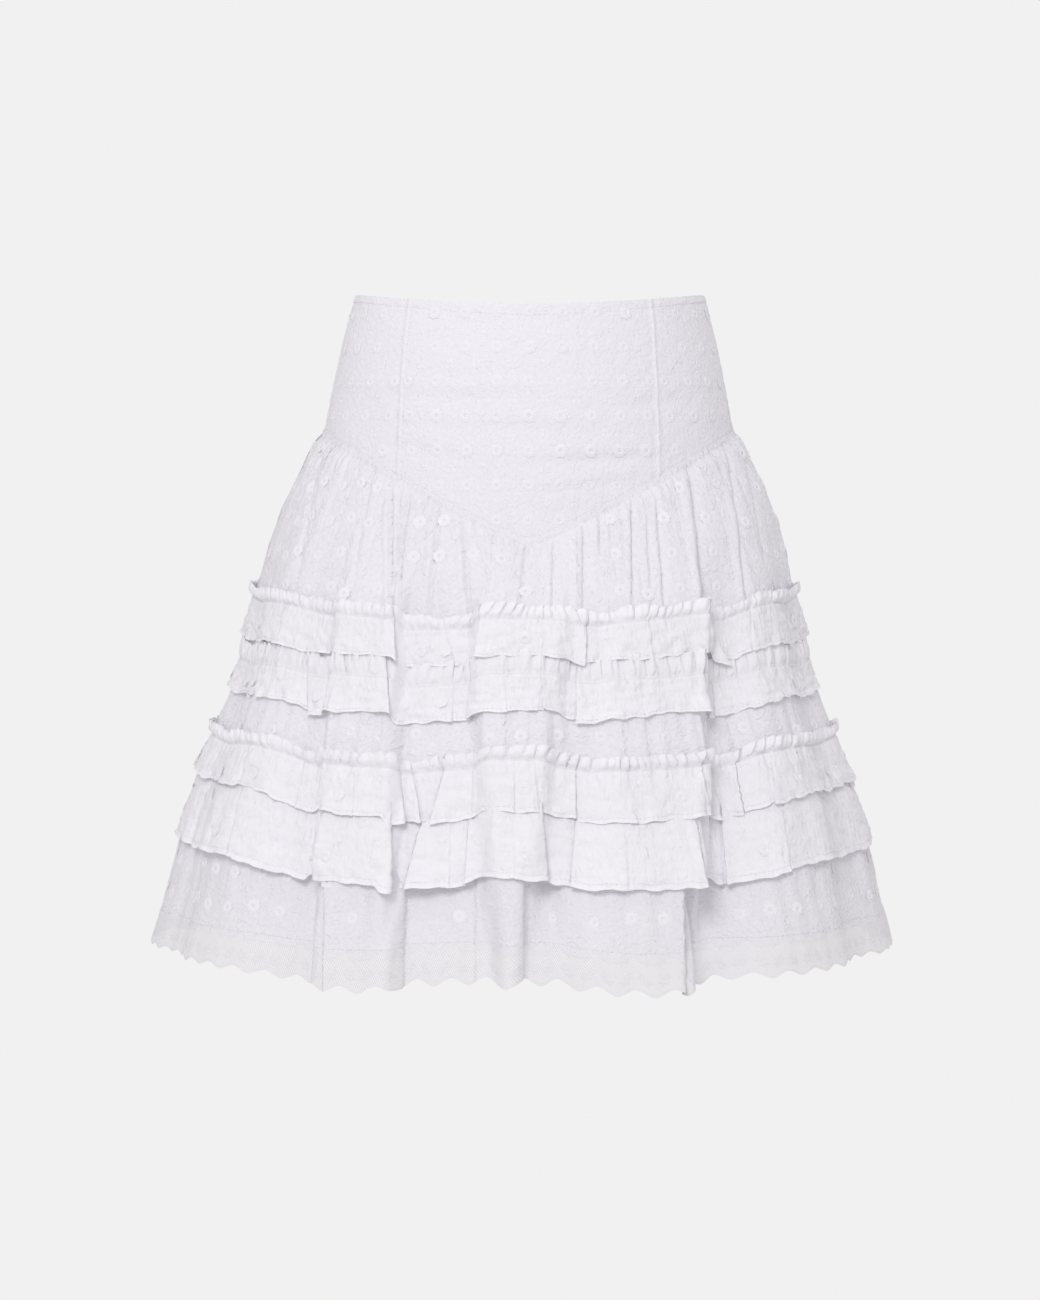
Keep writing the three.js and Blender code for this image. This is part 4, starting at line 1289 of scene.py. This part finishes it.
# From end to end of a stitch: how far along, and how thick.
STITCH_SECTIONS = [dict(along=-1.1, radius=0.1), dict(along=0, radius=0.27), dict(along=1.1, radius=0.1)]
# The rows and columns of each kind of piece that carry stitches, counted from either end.
STITCH_LINES = {
    "yoke": dict(rows=[4, -4], columns=[2, -3]),
    "lower_tier": dict(rows=[-2], columns=[]),
    "ruffle_4": dict(rows=[-3], columns=[]),
    "ruffle": dict(rows=[8, -3], columns=[]),
}


def stitch_mesh():
    turn = np.arange(4) * math.pi / 2
    points = []
    for section in STITCH_SECTIONS:
        around = section["radius"] * np.stack([np.cos(turn), np.sin(turn)], -1)
        points += [(section["along"], y, z) for y, z in around]
    number = np.arange(len(points)).reshape(-1, 4)
    after = np.roll(number, -1, axis=1)
    faces = np.stack([number[:-1], after[:-1], after[1:], number[1:]], -1).reshape(-1, 4).tolist()
    mesh = bpy.data.meshes.new("stitch")
    mesh.from_pydata((np.array(points) * MM).tolist(), [], faces)
    mesh.polygons.foreach_set("use_smooth", [True] * len(faces))
    stitch = bpy.data.objects.new("stitch_pattern", mesh)
    bpy.context.scene.collection.objects.link(stitch)
    return stitch


# %% Stitches along the seams
def along_line(line, normals, pitch):
    """Even places along a line of points, with the ways they face and run."""
    length = np.concatenate([[0], np.cumsum(np.linalg.norm(np.diff(line, axis=0), axis=1))])
    stops = np.arange(pitch / 2, length[-1], pitch)
    values = np.concatenate([line, normals, np.gradient(line, axis=0)], 1)
    found = np.stack([np.interp(stops, length, column) for column in values.T], -1)
    return found[:, :3] + STITCH_LIFT * found[:, 3:6], found[:, 3:6], found[:, 6:]


def stitch_spots(points, lines):
    normals = surface_normals(points)
    found = [along_line(points[row], normals[row], STITCH_PITCH) for row in lines["rows"]]
    found += [along_line(points[:, k], normals[:, k], STITCH_PITCH) for k in lines["columns"]]
    return [np.concatenate(part) for part in zip(*found)]


stitch = stitch_mesh()
for name, (piece, points, cloth_map) in made.items():
    kinds = [kind for kind in STITCH_LINES if name.startswith(kind)]
    if kinds:
        spots = stitch_spots(points, STITCH_LINES[max(kinds, key=len)])
        stitches = scatter(scatter_on_cloth, name + "_stitches", spots, stitch, 1.0, THREAD)
        trims[name].append(stitches)

# %% [markdown]
# ## The zip
#
# A zip is hard metal and tape, so the solid model's own slider and pull tab are shown as they are,
# and only get their finish. The tape gets its weave, and the closed coil runs down its inner side:
# the stitch's spindle again, larger and turned across the tape.

# %% Zip finish
COIL_TOP, COIL_FOOT = -14, -104
COIL_PITCH = 1.5
COIL_DEPTH = 3.4
COIL_SIZE = 1.6

for name in ("zip_slider", "zip_pull"):
    metal_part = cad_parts[name]
    metal_part.data.materials.clear()
    metal_part.data.materials.append(METAL)
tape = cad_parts["zip_tape"]
tape.data.materials.clear()
tape.data.materials.append(TAPE)

height = np.arange(COIL_TOP, COIL_FOOT, -COIL_PITCH)
places = place(yoke_xy(180.0 + 0 * height, height) - np.array([0, COIL_DEPTH]), height)
inward, across = np.zeros_like(places), np.zeros_like(places)
inward[:, 1] = -1
across[:, 0] = 1
coil = scatter(scatter_on_cloth, "zip_coil", (places, inward, across), stitch, COIL_SIZE, METAL)
bpy.data.objects.remove(stitch)

# %% [markdown]
# ## The cut pieces: the yoke is stretched over the figure and all else is gathered.

# %% [markdown]
# ## Studio and camera
#
# The photograph has an even pale ground with no shadow. A lit floor would grade from light to dark
# and tint the white cloth, so the floor and the walls glow evenly for the camera alone. One large
# soft lamp in front and a weak one behind shape the folds, and the world fills their shadows.

# %% Floor and walls
BACKDROP = (0.879, 0.879, 0.879, 1)
STUDIO = 12.0
FLOOR_HEIGHT = -1.1


def emission_material(name, colour):
    material, shade = new_material(name)
    light = shade.node("ShaderNodeEmission", {"Color": colour, "Strength": 1.0})
    out = shade.tree.nodes.new("ShaderNodeOutputMaterial")
    shade.tree.links.new(light.socket, out.inputs["Surface"])
    return material


def add_backdrop(name, corners, faces):
    """A plain pale surface that the camera sees, but that throws no light on the cloth."""
    mesh = bpy.data.meshes.new(name)
    mesh.from_pydata(corners, [], faces)
    mesh.materials.append(emission_material("pale_" + name, BACKDROP))
    wall = bpy.data.objects.new(name, mesh)
    bpy.context.scene.collection.objects.link(wall)
    wall.visible_diffuse = wall.visible_glossy = wall.visible_transmission = wall.visible_shadow = False
    wall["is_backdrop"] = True


ends = (-STUDIO, STUDIO)
add_backdrop("floor", [(x, y, FLOOR_HEIGHT) for x in ends for y in ends], [(0, 2, 3, 1)])
add_backdrop("walls", [(x, y, z) for x in ends for y in ends for z in ends],
             [(0, 1, 3, 2), (4, 6, 7, 5), (0, 4, 5, 1), (2, 3, 7, 6), (1, 5, 7, 3), (0, 2, 6, 4)])

# %% World and lamps
WORLD_STRENGTH = 0.70
LAMP_SIZE = 1.3
LAMP_AIM = (0, 0, -0.2)

scene = bpy.context.scene
world = bpy.data.worlds.new("studio")
scene.world = world
world.use_nodes = True
world.node_tree.nodes["Background"].inputs["Color"].default_value = (1, 1, 1, 1)
world.node_tree.nodes["Background"].inputs["Strength"].default_value = WORLD_STRENGTH


def add_light(name, stand, power):
    """A round soft lamp that stands there and points at the skirt."""
    lamp = bpy.data.lights.new(name, "AREA")
    lamp.shape = "DISK"
    lamp.size = LAMP_SIZE
    lamp.energy = power
    holder = bpy.data.objects.new(name, lamp)
    scene.collection.objects.link(holder)
    holder.location = stand
    away = np.array(stand) - np.array(LAMP_AIM)
    tilt = math.acos(away[2] / np.linalg.norm(away))
    holder.rotation_euler = (tilt, 0, math.atan2(away[0], -away[1]))


add_light("key", (-0.6, -3.0, 1.5), 44.5)
add_light("fill_behind", (1.6, 3.0, 1.0), 18)

# %% Camera
# It stands as far off as the photographer did, and its lens and shift place the skirt's middle and
# the horizon where the photograph has them.
CAMERA_DISTANCE = 2.6
CAMERA_HEIGHT = -0.09
PIXELS_PER_METRE = 1422.5
PHOTO = {"width": 1040, "height": 1300, "horizon": 438, "axis": 530}
SENSOR = 36
camera_data = bpy.data.cameras.new("camera")
camera_data.sensor_width = SENSOR
camera_data.lens = SENSOR * CAMERA_DISTANCE * PIXELS_PER_METRE / PHOTO["height"]
camera_data.shift_y = (PHOTO["horizon"] - PHOTO["height"] / 2) / PHOTO["height"]
camera = bpy.data.objects.new("camera", camera_data)
scene.collection.objects.link(camera)
camera.location = ((PHOTO["width"] / 2 - PHOTO["axis"]) / PIXELS_PER_METRE, -CAMERA_DISTANCE, CAMERA_HEIGHT)
camera.rotation_euler = (math.pi / 2, 0, 0)
scene.camera = camera
scene.view_settings.view_transform = "Standard"


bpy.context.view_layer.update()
triangles = sum(len(p.vertices) - 2 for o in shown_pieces() if o.type == "MESH" for p in o.data.polygons)
print("triangles in all", triangles)
